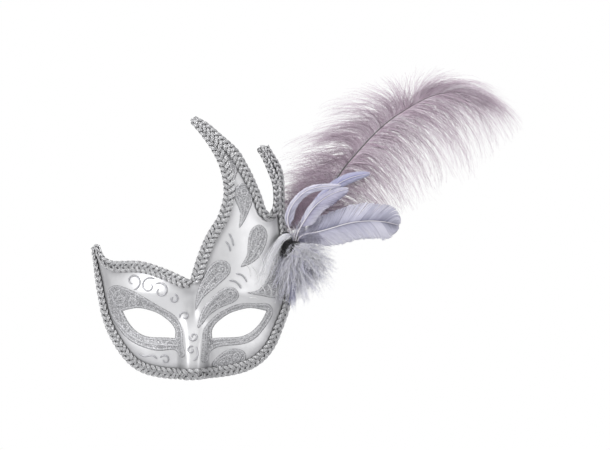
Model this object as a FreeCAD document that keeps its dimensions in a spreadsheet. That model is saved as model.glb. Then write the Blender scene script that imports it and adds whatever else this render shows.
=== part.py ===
"""Venetian masquerade half mask: a moulded shell edged with gimp braid and dressed with feathers.

Frame: X runs across the face to the viewer's right, Z is up, and Y runs from the front of the mask
back towards the wearer. The origin is on the inside of the nose bridge at eye level, where the mask
rests on the nose. Every applied piece follows the shell's front face, which one formula describes.
"""
import FreeCAD, Part

import math
import os

import Sketcher

from FreeCAD import Placement, Rotation, Vector

doc = FreeCAD.newDocument("masquerade_mask")

# ---------------------------------------------------------------- driving dimensions, in millimetres

DIMENSIONS = {
    "arch_half_width": 102.0,   # plan ellipse of the face arch
    "arch_depth": 84.0,
    "shell_thickness": 2.0,
    "forehead_lean": 0.0005,    # the forehead and flame lean back by this times height squared
    "cheek_tuck": 0.004,        # and the cheeks tuck under in the same way
    "socket_depth": 4.5,
    "brow_height": 3.0,
    "nose_height": 17.0,
    "nose_half_width": 11.0,
    "nose_top": 22.0,
    "crease_depth": 2.0,
    "glue_gap": 0.15,           # between the shell and whatever is glued on it
    "braid_width": 9.0,
    "braid_overhang": 1.2,
    "braid_thickness": 3.0,
    "braid_joint": 0.2,         # between one length of braid and the next
    "glitter_thickness": 0.6,
    "bead_height": 0.9,
    "bead_width": 1.2,
    "pad_thickness": 2.4,
    "felt_thickness": 2.4,
    "prism_front": 60.0,        # how far the cutting prisms reach before and behind the origin
    "prism_back": 90.0,
    "tie_eye_radius": 2.0,
    "tie_ribbon_thickness": 0.6,
    "tie_ribbon_width": 10.0,
    "tie_tail_length": 13.0,
    "tie_eye_set_back": 1.9,    # how far the eye's centre lies behind its tail, clear of the shell
    "tail_room_ahead": 6.0,
    "binding_radius": 3.6,
    "binding_length": 13.0,
    "binding_rounding": 1.0,
    "vane_thickness": 0.8,
    "plume_thickness": 2.4,
    "plume_front": 46.6,        # the plume lies in a layer behind the shell's edge
    "tuft_front": 32.6,         # the marabou beside the binding
    "tuft_back": 40.6,
    "cover_thickness": 3.0,     # the marabou that lies over the shell's edge
    "feather_gap": 1.0,         # between the binding's top and the root of a feather that flexes on it
}

sheet = doc.addObject("Spreadsheet::Sheet", "dimensions")
for row, (alias, value) in enumerate(DIMENSIONS.items(), start=1):
    sheet.set(f"A{row}", alias)
    sheet.set(f"B{row}", str(value))
    sheet.setAlias(f"B{row}", alias)
doc.recompute()


def dim(alias):
    """A driving dimension, read from the sheet."""
    return float(sheet.get(alias))


PARTS = []                      # (label, object) of every sub-part, in the order of making
UPRIGHT = Placement(Vector(), Rotation(Vector(1, 0, 0), 90))    # a sketch's x, y become X, Z


def keep(label, item):
    """Names a finished sub-part."""
    item.Label = label
    PARTS.append((label, item))
    return item


# ---------------------------------------------------------------- the shell's front face

SOCKET = (41.0, 5.0, 22.0, 15.0)        # centre x, z and spread x, z of each eye socket
BROW = (38.0, 33.0, 28.0, 10.0)         # the same for each brow ridge
CREASE = (5.0, 18.0, 16.0)              # spread x, centre z and spread z of the crease between the brows
LEAN_FROM, TUCK_FROM, NOSE_TIP = 20.0, -5.0, -42.0


def ease(t):
    """A smooth step from 0 to 1."""
    t = min(max(t, 0.0), 1.0)
    return t * t * (3 - 2 * t)


def hill(x, z, shape):
    """A mirrored pair of round hills, 1 high."""
    return math.exp(-((abs(x) - shape[0]) / shape[2]) ** 2 - ((z - shape[1]) / shape[3]) ** 2)


def relief(x, z):
    """How far back the front face lies at x, z, before it is set on the datum."""
    arch = dim("arch_depth") * (1 - math.sqrt(1 - (x / dim("arch_half_width")) ** 2))
    lean = dim("forehead_lean") * max(0.0, z - LEAN_FROM) ** 2
    tuck = dim("cheek_tuck") * min(0.0, z - TUCK_FROM) ** 2
    nose = ease((dim("nose_top") - z) / (dim("nose_top") - NOSE_TIP))
    nose *= dim("nose_height") * math.exp(-(x / dim("nose_half_width")) ** 4)
    crease = math.exp(-(x / CREASE[0]) ** 2 - ((z - CREASE[1]) / CREASE[2]) ** 2)
    return (arch + lean + tuck - nose + dim("socket_depth") * hill(x, z, SOCKET)
            - dim("brow_height") * hill(x, z, BROW) + dim("crease_depth") * crease)


def slopes(x, z, step=0.05):
    """The front face's slopes along x and along z."""
    along_x = (relief(x + step, z) - relief(x - step, z)) / (2 * step)
    along_z = (relief(x, z + step) - relief(x, z - step)) / (2 * step)
    return along_x, along_z


DATUM = -relief(0, 0) - dim("shell_thickness") * math.sqrt(1 + slopes(0, 0)[1] ** 2)


def on_face(x, z, out=0.0):
    """The point of the front face at x, z, moved out along the face's normal."""
    along_x, along_z = slopes(x, z)
    normal = Vector(along_x, -1, along_z).normalize()
    return Vector(x, relief(x, z) + DATUM, z) + normal * out


# Stations shared by every slab, so that neighbouring slabs follow the same curves.
ARCH_STEP, HEIGHT_STEP = 0.042, 4.5
X_STATIONS = [dim("arch_half_width") * math.sin(i * ARCH_STEP) for i in range(-32, 31)]
Z_STATIONS = [-54.0 + i * HEIGHT_STEP for i in range(57)]


def spanning(stations, low, high):
    """The stations that span low to high, with two spare ones at each end."""
    first = max(0, sum(s < low for s in stations) - 3)
    last = min(len(stations), len(stations) - sum(s > high for s in stations) + 3)
    return stations[first:last]


def slab(name, box, near, far):
    """A layer that follows the front face, between near and far out from it, over box x0, x1, z0, z1."""
    xs, zs = spanning(X_STATIONS, box[0], box[1]), spanning(Z_STATIONS, box[2], box[3])
    skins = []
    for out in (near, far):
        surface = Part.BSplineSurface()
        surface.interpolate([[on_face(x, z, out) for z in zs] for x in xs])
        skins.append(surface)
    faces = [skin.toShape() for skin in skins]
    u0, u1, v0, v1 = skins[0].bounds()
    s0, s1, t0, t1 = skins[1].bounds()
    for first, second in ((skins[0].uIso(u0), skins[1].uIso(s0)), (skins[0].uIso(u1), skins[1].uIso(s1)),
                          (skins[0].vIso(v0), skins[1].vIso(t0)), (skins[0].vIso(v1), skins[1].vIso(t1))):
        faces.append(Part.makeRuledSurface(first.toShape(), second.toShape()))
    shell = Part.makeShell(faces)
    shell.sewShape()
    solid = Part.makeSolid(Part.Shell(shell.Faces))
    if solid.Volume < 0:
        solid.reverse()
    layer = doc.addObject("Part::Feature", name)
    layer.Shape = solid
    return layer


# ---------------------------------------------------------------- outlines in the front view

def curve(points):
    """A smooth curve through x, z points."""
    spline = Part.BSplineCurve()
    spline.interpolate([Vector(x, z, 0) for x, z in points])
    return spline


def closed(points):
    """A smooth closed curve through x, z points."""
    spline = Part.BSplineCurve()
    spline.interpolate([Vector(x, z, 0) for x, z in points], PeriodicFlag=True)
    return spline


def line(start, end):
    return Part.LineSegment(Vector(*start, 0), Vector(*end, 0))


def arc(start, middle, end):
    return Part.Arc(Vector(*start, 0), Vector(*middle, 0), Vector(*end, 0))


def mirrored(points):
    return [(-x, z) for x, z in points]


def sketch(name, curves):
    """An upright sketch of the curves."""
    item = doc.addObject("Sketcher::SketchObject", name)
    item.Placement = UPRIGHT
    for each in curves:
        item.addGeometry(each, False)
    return item


def around(points, margin):
    """The box x0, x1, z0, z1 round the points, with a margin."""
    xs, zs = [p[0] for p in points], [p[1] for p in points]
    return min(xs) - margin, max(xs) + margin, min(zs) - margin, max(zs) + margin


def prism(name, curves):
    """The outline carried right through the mask from front to back."""
    item = doc.addObject("Part::Extrusion", name + "_prism")
    item.Base = sketch(name + "_outline", curves)
    item.DirMode = "Normal"
    item.Solid = True
    item.setExpression("LengthFwd", "dimensions.prism_front")
    item.setExpression("LengthRev", "dimensions.prism_back")
    return item


def common(name, base, tool):
    item = doc.addObject("Part::Common", name + "_common")
    item.Base, item.Tool = base, tool
    return item


def cut(name, base, tool):
    item = doc.addObject("Part::Cut", name + "_cut")
    item.Base, item.Tool = base, tool
    return item


def layer_piece(label, curves, box, near, far, cutters=()):
    """A sub-part cut from a layer over the front face by its outline, less what the cutters take."""
    item = common(label, slab(label + "_layer", box, near, far), prism(label, curves))
    for number, tool in enumerate(cutters):
        item = cut(f"{label}_{number}", item, tool)
    return keep(label, item)


# The shell's edge, from the left tip round the front view: brow, flame, notch and horn, then the long
# sweep down the right, along the bottom and up the left.
BROW_EDGE = [(-90, 76.5), (-84.5, 66), (-76, 60.6), (-64, 60), (-49, 60), (-34.5, 56.6), (-19, 50.6),
             (-2, 42.5)]
FLAME_EDGE = [(-2, 42.5), (3.8, 62), (9.2, 76.8), (15.5, 89.3), (22.3, 100.5), (26.3, 112),
              (28.3, 124.5), (26.8, 138.3), (22.7, 151.7), (15.5, 165.3), (7.3, 177), (-3, 189)]
NOTCH_EDGE = [(0.5, 191.3), (11, 185.5), (21, 177), (32.3, 167.3), (39.2, 160), (45, 150.2), (51, 138.8),
              (55.3, 128.8), (60, 116.8), (64, 106.5), (67.2, 104.2), (70, 107), (72, 113), (72.3, 122),
              (70.8, 133.7), (66.7, 144.2), (62.5, 154.2), (57, 163.6)]
SWEEP_EDGE = [(65, 166.5), (71, 156.5), (76.5, 146.5), (79, 132.8), (79.5, 118.5), (80, 103), (82, 86),
              (84.7, 70), (86.8, 51), (86.3, 34), (83.7, 17.2), (78.7, 2.8), (72, -13.7), (63.7, -25.2),
              (52, -33.8), (37.3, -38.6), (19, -41.2), (2, -42.2), (-14.5, -42.6), (-31, -41.2),
              (-46.2, -37.4), (-57.8, -30.2), (-68.7, -17.4), (-77.2, -3.2), (-83.3, 12.9),
              (-86.7, 28.2), (-89.2, 41.8), (-91.8, 58.6), (-94, 74)]
BROW_TIP, FLAME_TIP, HORN_TIP = (-92.9, 76.8), (-2.3, 191.4), (60.2, 167.3)

EYE_UPPER = [(17, -7.5), (16.6, -1), (19.7, 5), (25.2, 10), (32.3, 14.6), (41.4, 17.7), (49.5, 19.2),
             (58, 18.3), (65.8, 16.2)]
EYE_LOWER = [(65.8, 16.2), (61.7, 8.6), (57, 2.5), (50.5, -3), (43.4, -6), (33.3, -7), (24.2, -7),
             (17, -7.5)]

SHELL_BOX = (-95.0, 88.0, -46.0, 193.0)


def eye(side):
    """The outline of an eye opening, on the right for 1 and on the left for -1."""
    return [curve([(side * x, z) for x, z in half]) for half in (EYE_UPPER, EYE_LOWER)]


shell_outline = [curve(BROW_EDGE), curve(FLAME_EDGE), arc(FLAME_EDGE[-1], FLAME_TIP, NOTCH_EDGE[0]),
                 curve(NOTCH_EDGE), arc(NOTCH_EDGE[-1], HORN_TIP, SWEEP_EDGE[0]), curve(SWEEP_EDGE),
                 arc(SWEEP_EDGE[-1], BROW_TIP, BROW_EDGE[0])]
shell = common("shell", slab("shell_layer", SHELL_BOX, 0.0, -dim("shell_thickness")),
               prism("shell", shell_outline))
eye_prisms = {side: prism(name, eye(side)) for side, name in ((1, "right_eye"), (-1, "left_eye"))}
for side, tool in eye_prisms.items():
    shell = cut(tool.Name, shell, tool)
keep("mask_shell", shell)

# ---------------------------------------------------------------- gimp braid round the edge


def flat_reach(x, z, inward, width):
    """How far a width laid on the face reaches in the front view, along the unit direction inward."""
    along_x, along_z = slopes(x, z)
    return width / math.sqrt(1 + (along_x * inward[0] + along_z * inward[1]) ** 2)


def band(edge, start, end, room=(1e3, 0.0, 1e3, 0.0), mitre=(None, None)):
    """The front outline of a length of braid, from share start to share end of an edge.

    The shell lies to the right of the way the edge runs. room gives the width left at each end and how
    fast it grows along the edge, where two lengths share a narrow tip. mitre gives the inner corner at
    an end where the braid turns a corner.
    """
    spline = curve(edge)
    length = spline.length()
    first, last = start * length + dim("braid_joint") / 2, end * length - dim("braid_joint") / 2
    count = max(5, round((last - first) / 6.0) + 1)
    outer, inner = [], []
    for i in range(count):
        along = first + (last - first) * i / (count - 1)
        u = spline.parameterAtDistance(along, spline.FirstParameter)
        at, tangent = spline.value(u), spline.tangent(u)[0]
        inward = (tangent.y, -tangent.x)
        near = flat_reach(at.x, at.y, inward, dim("braid_overhang"))
        width = min(dim("braid_width") - dim("braid_overhang"), room[0] + room[1] * (along - first),
                    room[2] + room[3] * (last - along))
        far = flat_reach(at.x, at.y, inward, width)
        outer.append((at.x - inward[0] * near, at.y - inward[1] * near))
        inner.append((at.x + inward[0] * far, at.y + inward[1] * far))
    for place, corner in ((0, mitre[0]), (-1, mitre[1])):
        if corner:
            inner[place] = corner
    return [curve(outer), line(outer[-1], inner[-1]), curve(inner), line(inner[0], outer[0])]


# Shares of the long sweep at which one length of braid ends and the next begins.
HORN_END, RIGHT_END, BOTTOM_END = 0.215, 0.395, 0.735
V_MITRE = 9.0           # how far below the V between brow and flame the two lengths meet
FREE = 1e3              # a width with no limit of its own
BRAIDS = {
    "braid_brow": (BROW_EDGE, 0.0, 1.0, (3.6, 0.16, FREE, 0.0), (None, (-2.2, 42.5 - V_MITRE)),
                   (-95, 5, 28, 80)),
    "braid_flame": (FLAME_EDGE, 0.0, 1.0, (FREE, 0.0, 4.2, 0.075), ((-1.8, 42.5 - V_MITRE), None),
                    (-6, 40, 30, 193)),
    "braid_notch": (NOTCH_EDGE, 0.0, 1.0, (4.2, 0.075, 3.6, 0.0), (None, None), (-4, 80, 90, 194)),
    "braid_horn": (SWEEP_EDGE, 0.0, HORN_END, (3.6, 0.004, FREE, 0.0), (None, None), (55, 90, 60, 170)),
    "braid_right": (SWEEP_EDGE, HORN_END, RIGHT_END, (FREE, 0.0, FREE, 0.0), (None, None),
                    (50, 91, -35, 95)),
    "braid_bottom": (SWEEP_EDGE, RIGHT_END, BOTTOM_END, (FREE, 0.0, FREE, 0.0), (None, None),
                     (-85, 85, -48, 20)),
    "braid_left": (SWEEP_EDGE, BOTTOM_END, 1.0, (FREE, 0.0, 3.0, 0.16), (None, None), (-97, -50, -35, 80)),
}
braid_prisms = {}
for label, (edge, start, end, room, mitre, box) in BRAIDS.items():
    braid_prisms[label] = prism(label, band(edge, start, end, room, mitre))
    layer = slab(label + "_layer", box, dim("glue_gap"), dim("glue_gap") + dim("braid_thickness"))
    braid = common(label, layer, braid_prisms[label])
    if label == "braid_flame":      # the brow's braid lies over its corner
        braid = cut(label, braid, braid_prisms["braid_brow"])
    keep(label, braid)

# ---------------------------------------------------------------- glitter drops and eye bands

LEFT_BAND = [(-73, 39.7), (-62.6, 38), (-50.6, 32.8), (-38.5, 25.9), (-26.5, 19), (-17.9, 13.9),
             (-11.9, 6), (-9.3, -3), (-8.6, -14), (-8, -24), (-11, -25), (-15, -20), (-26.5, -19),
             (-40.3, -18), (-50.6, -14.6), (-61, -8.6), (-69, 0), (-76.5, 12), (-80.3, 25), (-79.6, 35.5)]
RIGHT_BAND = [(14.4, 8), (20, 13.4), (29, 18.8), (37.6, 22.6), (46.8, 24.2), (56, 23.6), (68.7, 21.9),
              (71.4, 17.3), (69.5, 9.5), (63.9, 0.9), (55.3, -8.6), (46.6, -12.9), (36.2, -14.3),
              (27.4, -15), (18.4, -17.5), (14.5, -22), (12, -29), (8.4, -29), (7.6, -20), (8, -9),
              (8.8, 0)]
DROPS = {
    "drop_over_eye": ([(4.4, 1.5), (5.4, 12), (11, 23), (19.6, 32.3), (28, 38), (35, 38.6), (40, 34.5),
                       (40.6, 29.2), (36.8, 25), (27.4, 21), (18.5, 16), (12.2, 10.4), (7.4, 4)], ()),
    "drop_brow": ([(1.8, 17), (1.8, 27), (5.4, 41), (11, 52.6), (17, 60.3), (23.2, 63), (29.4, 62),
                   (33.2, 57), (32.8, 51.2), (27.6, 45), (18.8, 37.2), (9.6, 29.4),
                   (4.6, 22)], ("braid_flame",)),
    "drop_side": ([(42.2, 56.4), (46.2, 64.5), (48.2, 75), (49.4, 85.2), (52.8, 92), (59, 95),
                   (64.4, 91.4), (66.4, 84.6), (65, 77), (61.4, 69), (56.3, 62.6),
                   (49.4, 58.4)], ("braid_notch",)),
    "drop_flame": ([(40.9, 91.6), (41.2, 101), (40, 110), (36.2, 119.8), (37.2, 128), (42.4, 132.6),
                    (48.6, 131.8), (52.4, 125), (53, 115.6), (50.2, 107.8),
                    (45.8, 98)], ("braid_notch",)),
    "drop_tip": ([(35.6, 134), (32, 144), (26.6, 155), (22, 163.8), (27, 165), (33, 159), (38, 151.4),
                  (39.4, 145), (38, 138.6)], ("braid_flame", "braid_notch")),
    "drop_cheek": ([(16, -32), (22.6, -23), (30.8, -17.8), (38.5, -17), (45.6, -20), (47.4, -25.4),
                    (43, -31.5), (30, -35)], ("braid_bottom",)),
    "leaf_temple": ([(47.2, 33.4), (55, 34.8), (61.9, 40), (67.8, 50.4), (70.6, 61.2), (74, 70),
                     (80, 66), (80.6, 50), (79.4, 36), (74, 28.4), (64, 29.4),
                     (54.9, 31.2)], ("braid_right",)),
}
DROP_MARGIN = 3.0
glitter = (dim("glue_gap"), dim("glue_gap") + dim("glitter_thickness"))
layer_piece("eye_band_left", [closed(LEFT_BAND)], (-84, -4, -30, 44), *glitter, [eye_prisms[-1]])
layer_piece("eye_band_right", [closed(RIGHT_BAND)], (4, 76, -34, 28), *glitter, [eye_prisms[1]])
for label, (points, braids) in DROPS.items():
    layer_piece(label, [closed(points)], around(points, DROP_MARGIN), *glitter,
                [braid_prisms[name] for name in braids])

# ---------------------------------------------------------------- piped gesso scrolls


def volute(centre, radius, start, turns, hand, stalk=0.0):
    """Centreline of a scroll: it winds in towards its centre, after a straight stalk of that length."""
    points = []
    steps = max(8, round(turns * 12))
    for i in range(steps + 1):
        share = i / steps
        angle = math.radians(start) + hand * 2 * math.pi * turns * share
        reach = radius * (1 - 0.72 * share)
        points.append((centre[0] + reach * math.cos(angle), centre[1] + reach * math.sin(angle)))
    if stalk:
        heading = math.radians(start) - hand * math.pi / 2
        points.insert(0, (points[0][0] + stalk * math.cos(heading),
                          points[0][1] + stalk * math.sin(heading)))
    return points


def bead(points):
    """The closed outline of a bead of gesso piped along the points."""
    half = dim("bead_width") / 2
    spline = curve(points)
    length = spline.length()
    count = max(4, round(length / 1.6) + 1)
    left, right = [], []
    for i in range(count):
        u = spline.parameterAtDistance(length * i / (count - 1), spline.FirstParameter)
        at, tangent = spline.value(u), spline.tangent(u)[0]
        side = Vector(-tangent.y, tangent.x, 0) * half
        left.append((at.x + side.x, at.y + side.y))
        right.append((at.x - side.x, at.y - side.y))
    right.reverse()
    return [curve(left), line(left[-1], right[0]), curve(right), line(right[-1], left[0])]


SCROLLS = {
    "scroll_nose": [volute((0.4, -5.6), 4.2, 170, 1.15, 1), volute((-1.6, -17.6), 3.6, 60, 1.0, 1),
                    [(2.6, -14.4), (4.2, -19.6), (3.2, -24.8), (0.4, -26.6)]],
    "scroll_brow": [volute((-39.4, 40.2), 6.4, 70, 0.95, 1, 2.0),
                    volute((-29.4, 35.4), 6.4, 110, 0.95, -1, 2.0),
                    volute((-55.4, 43.6), 7.4, 300, 0.9, 1, 3.0), volute((-18, 28.2), 4.4, 80, 0.95, -1),
                    volute((-8, 12.4), 4.6, 200, 1.0, -1)],
    "scroll_cheek": [volute((-26, -27), 4.6, 160, 0.95, -1),
                     [(-50, -21.4), (-44, -24.2), (-38, -23.2), (-33, -26.6)]],
    "scroll_flame": [[(31.6, 87.2), (34.6, 81.2), (35.8, 75.6)], [(28.8, 79.8), (32, 75.4), (33, 70.6)],
                     [(37.8, 50.6), (43.6, 49), (47.8, 43)], [(31.8, 44.8), (38.6, 42.8), (42.8, 37)]],
    "scroll_temple": [[(52, 57.4), (56.6, 52), (58, 45.4), (55, 41)],
                      [(62, 64), (64.6, 57.4), (63.4, 50.4)],
                      [(50, 28.6), (54.2, 29), (58.2, 26.8)]],
}
BEAD_MARGIN = 4.0
bead_layer = (dim("glue_gap"), dim("glue_gap") + dim("bead_height"))
for label, beads in SCROLLS.items():
    layer_piece(label, [edge for points in beads for edge in bead(points)],
                around([p for points in beads for p in points], BEAD_MARGIN), *bead_layer)

# ---------------------------------------------------------------- feather pad and quill binding

PAD_CENTRE, PAD_HALF = (83.6, 79.0), (5.2, 9.5)
pad_near = dim("glue_gap") + dim("braid_thickness") + dim("glue_gap")
pad_outline = [Part.Ellipse(Vector(PAD_CENTRE[0], PAD_CENTRE[1] + PAD_HALF[1], 0),
                            Vector(PAD_CENTRE[0] + PAD_HALF[0], PAD_CENTRE[1], 0),
                            Vector(PAD_CENTRE[0], PAD_CENTRE[1], 0))]
layer_piece("feather_pad", pad_outline, (74, 92, 64, 94), pad_near, pad_near + dim("pad_thickness"))

BINDING_CENTRE = on_face(84.0, 73.0,
                         pad_near + dim("pad_thickness") + dim("glue_gap") + dim("binding_radius"))
BINDING_LEAN = 8.0              # degrees that the binding's top leans to the right


def binding():
    """The wound thread round the quills, as a turned body with rounded ends."""
    body = doc.addObject("PartDesign::Body", "binding_body")
    plane = next(f for f in body.Origin.OriginFeatures if f.Role == "XY_Plane")
    profile = body.newObject("Sketcher::SketchObject", "binding_profile")
    profile.AttachmentSupport, profile.MapMode = [(plane, "")], "FlatFace"
    circle = profile.addGeometry(Part.Circle(Vector(), Vector(0, 0, 1), dim("binding_radius")), False)
    profile.addConstraint(Sketcher.Constraint("Coincident", circle, 3, -1, 1))
    radius = profile.addConstraint(Sketcher.Constraint("Radius", circle, dim("binding_radius")))
    profile.setExpression(f"Constraints[{radius}]", "dimensions.binding_radius")
    wound = body.newObject("PartDesign::Pad", "binding_pad")
    wound.Profile, wound.Midplane = profile, True
    wound.setExpression("Length", "dimensions.binding_length")
    doc.recompute()
    ends = body.newObject("PartDesign::Fillet", "binding_ends")
    ends.Base = (wound, ["Edge1", "Edge3"])
    ends.setExpression("Radius", "dimensions.binding_rounding")
    body.Tip = ends
    body.Placement = Placement(BINDING_CENTRE, Rotation(Vector(0, 1, 0), BINDING_LEAN))
    return body


keep("quill_binding", binding())

# ---------------------------------------------------------------- feathers


def path(points):
    """A smooth curve through points in space."""
    spline = Part.BSplineCurve()
    spline.interpolate([Vector(*p) for p in points])
    return spline


def between(values, share):
    """The value at a share of the way along a list of evenly spaced values."""
    place = share * (len(values) - 1)
    low = min(int(place), len(values) - 2)
    return values[low] + (values[low + 1] - values[low]) * (place - low)


def vane(label, points, widths, facing, stations=12):
    """A thin curved blade: widths gives its half widths (left, right) evenly along the path."""
    spline = path(points)
    length = spline.length()
    rails = [[], [], [], []]
    for i in range(stations):
        share = i / (stations - 1)
        u = spline.parameterAtDistance(length * share, spline.FirstParameter)
        at, tangent = spline.value(u), spline.tangent(u)[0]
        side = tangent.cross(Vector(*facing)).normalize()
        normal = side.cross(tangent).normalize() * (dim("vane_thickness") / 2)
        left, right = (between([w[k] for w in widths], share) for k in (0, 1))
        for rail, corner in zip(rails, (at - side * left - normal, at + side * right - normal,
                                        at + side * right + normal, at - side * left + normal)):
            rail.append(corner)
    edges = []
    for rail in rails:
        spline = Part.BSplineCurve()
        spline.interpolate(rail)
        edges.append(spline.toShape())
    faces = [Part.makeRuledSurface(edges[k], edges[(k + 1) % 4]) for k in range(4)]
    for end in (0, -1):
        corners = [rail[end] for rail in rails]
        faces.append(Part.Face(Part.makePolygon(corners + corners[:1])))
    shell = Part.makeShell(faces)
    shell.sewShape()
    solid = Part.makeSolid(Part.Shell(shell.Faces))
    if solid.Volume < 0:
        solid.reverse()
    item = doc.addObject("Part::Feature", label)
    item.Shape = solid
    return keep(label, item)


def quill(label, points, root_radius, tip_radius, stations=9):
    """A tapered round shaft along a path."""
    spline = path(points)
    rings = []
    for i in range(stations):
        share = i / (stations - 1)
        u = spline.parameterAtDistance(spline.length() * share, spline.FirstParameter)
        radius = root_radius + (tip_radius - root_radius) * share
        ring = Part.Circle(spline.value(u), spline.tangent(u)[0], radius)
        rings.append(Part.Wire(ring.toShape()))
    item = doc.addObject("Part::Feature", label)
    item.Shape = Part.makeLoft(rings, True)
    return keep(label, item)


# The ostrich plume: a long shaft that bends over to the right, with barbs on both sides of it.
binding_top = Rotation(Vector(0, 1, 0), BINDING_LEAN).multVec(Vector(0, 0, dim("binding_length") / 2))
ROOT = BINDING_CENTRE + binding_top
ROOT.z += dim("feather_gap")
PLUME_Y = dim("plume_front") + dim("plume_thickness") / 2
PLUME_LINE = [(107, 108), (125.3, 130.2), (133.7, 143.2), (147.4, 160), (162.7, 176.7), (178, 190.4),
              (197.8, 203.4), (213, 211.4), (228.3, 215.6), (239, 216), (249.6, 214.1)]
PLUME_RADII = (1.3, 0.35)       # of the shaft, at its root and at its tip
PLUME_ROOT = (ROOT.x + 1.0, ROOT.y + 1.9, ROOT.z)
quill("plume_shaft", [PLUME_ROOT, (95.6, PLUME_ROOT[1] + 4.2, 90.5), (100.5, PLUME_Y - 2.2, 99)]
      + [(x, PLUME_Y, z) for x, z in PLUME_LINE], *PLUME_RADII, stations=16)

UPPER_EDGE = [(104, 152), (106.3, 184), (118.4, 193), (144.3, 216.4), (174.8, 226), (194.7, 234.7),
              (213, 236), (235.9, 235.5), (258.8, 229.6), (275, 219.8), (290, 205.7), (297, 184)]
LOWER_EDGE = [(281.5, 179.8), (266, 163), (250, 141.7), (228, 132), (205.4, 124), (188.6, 112.4),
              (165, 104), (138, 99), (112, 97)]
BASE_EDGE = [(81.5, 104), (79.5, 122), (80, 138), (83, 152), (89, 161), (96, 166)]
BASE_SIDE = [(98.5, 150), (117.5, 129)]         # the base down's edge beside the upper barbs
SHAFT_CLEARANCE = 2.0           # kept free between the barbs' solids and the shaft


def beside(points, distance):
    """The points moved sideways from the way they run: to the left for a positive distance."""
    moved = []
    for i, (x, z) in enumerate(points):
        ahead, behind = points[min(i + 1, len(points) - 1)], points[max(i - 1, 0)]
        run = math.hypot(ahead[0] - behind[0], ahead[1] - behind[1])
        moved.append((x - (ahead[1] - behind[1]) / run * distance,
                      z + (ahead[0] - behind[0]) / run * distance))
    return moved


def barbs(label, curves):
    """A flat layer of barbs with that outline, in the plume's layer."""
    item = doc.addObject("Part::Extrusion", label)
    item.Base = sketch(label + "_outline", curves)
    item.DirMode = "Normal"
    item.Solid = True
    item.setExpression("LengthFwd", "-dimensions.plume_front")
    item.setExpression("LengthRev", "dimensions.plume_front + dimensions.plume_thickness")
    return keep(label, item)


above, below = beside(PLUME_LINE, SHAFT_CLEARANCE), beside(PLUME_LINE, -SHAFT_CLEARANCE)
upper_end, lower_end = (254.5, 213.0), (254.1, 211.8)      # just beyond the shaft's tip
lower_edge = [(295.6, 182.8)] + LOWER_EDGE
barbs("plume_upper_barbs", [curve(above[1:]), line(above[-1], upper_end), line(upper_end, UPPER_EDGE[-1]),
                            curve(UPPER_EDGE), line(UPPER_EDGE[0], above[1])])
barbs("plume_lower_barbs", [curve(below), line(below[-1], lower_end), line(lower_end, lower_edge[0]),
                            curve(lower_edge), line(lower_edge[-1], below[0])])
base_foot = (97.6, 103)
barbs("plume_base_down", [curve(BASE_EDGE), line(BASE_EDGE[-1], BASE_SIDE[0]), line(*BASE_SIDE),
                          line(BASE_SIDE[1], above[0]), line(above[0], base_foot),
                          line(base_foot, BASE_EDGE[0])])

# Dyed goose feathers: each a thin shaft with a curved blade behind it. Each row has the shaft's points,
# the blade's half widths at those points, and how many points of bare quill come before the blade.
FACING = (0.0, -1.0, 0.0)
GOOSE = {
    "goose_long": ([(ROOT.x + 1.7, ROOT.y - 0.9, ROOT.z), (98, 30.5, 85), (108, 29, 87.5),
                    (124, 28.4, 91.5), (142, 28.4, 96.5), (160, 29, 98.2), (175, 31, 97), (187, 34, 94)],
                   [(3, 4), (4, 5), (11, 13), (14, 16), (16, 16), (16, 15), (12, 12), (4, 5)], 1),
    "goose_mid": ([(ROOT.x - 0.2, ROOT.y - 2.3, ROOT.z), (96, 25.6, 92), (101.5, 24, 101),
                   (108, 23, 110), (117, 22.4, 118), (128, 23, 124), (140, 24.6, 127.5)],
                  [(1.4, 2.4), (2, 7), (3, 9), (4, 9), (4, 9), (4, 7), (1.2, 2)], 1),
    "goose_curl": ([(ROOT.x - 2.1, ROOT.y - 0.9, ROOT.z), (86.4, 24, 91), (84.6, 20, 99),
                    (86.6, 17.6, 108), (93, 16.8, 118), (103, 17, 126), (117, 18, 129.4),
                    (133, 20, 130.4)],
                   [(1.4, 3), (3, 8), (3, 8.6), (3, 7), (3, 5), (3, 5), (3, 4), (1, 1.4)], 1),
    "goose_tip": ([(ROOT.x - 1.9, ROOT.y + 0.9, ROOT.z), (92.2, 33.7, 89), (96.6, 35.6, 98),
                   (104, 38, 107), (116, 39, 120), (129, 40, 131), (143, 40.6, 138), (160, 41, 141.6)],
                  [(1, 1), (2, 2), (2, 2), (3, 3), (4, 4), (6, 6), (6, 7), (1, 1)], 2),
}
SHAFT_AHEAD = 1.4               # how far a shaft lies in front of its blade
SHAFT_RADII = (0.75, 0.25)      # of a goose feather's shaft
for name, (points, widths, bare) in GOOSE.items():
    quill(name + "_shaft", points, *SHAFT_RADII)
    blade = [(x, y + SHAFT_AHEAD, z) for x, y, z in points[bare:]]
    vane(name + "_vane", blade, widths[bare:], FACING)

# Pieces of the spray that stay put: a curl that lies over the shell, and a tip and down below the pad.
vane("hackle_curl", [(84.6, 26.2, 83.8), (79, 20, 84.6), (74.6, 17.4, 80), (71, 16.4, 72), (69, 16.6, 62)],
     [(1, 3), (1, 4), (1, 4.6), (1, 4), (0.6, 1)], (0.45, -1.0, 0.0))
vane("down_tip", [(91.5, 29.5, 62), (91.6, 29, 50), (91, 28.8, 38), (88.6, 28.6, 20)],
     [(2, 2), (4, 4), (4.4, 4), (0.6, 0.6)], FACING)


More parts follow.
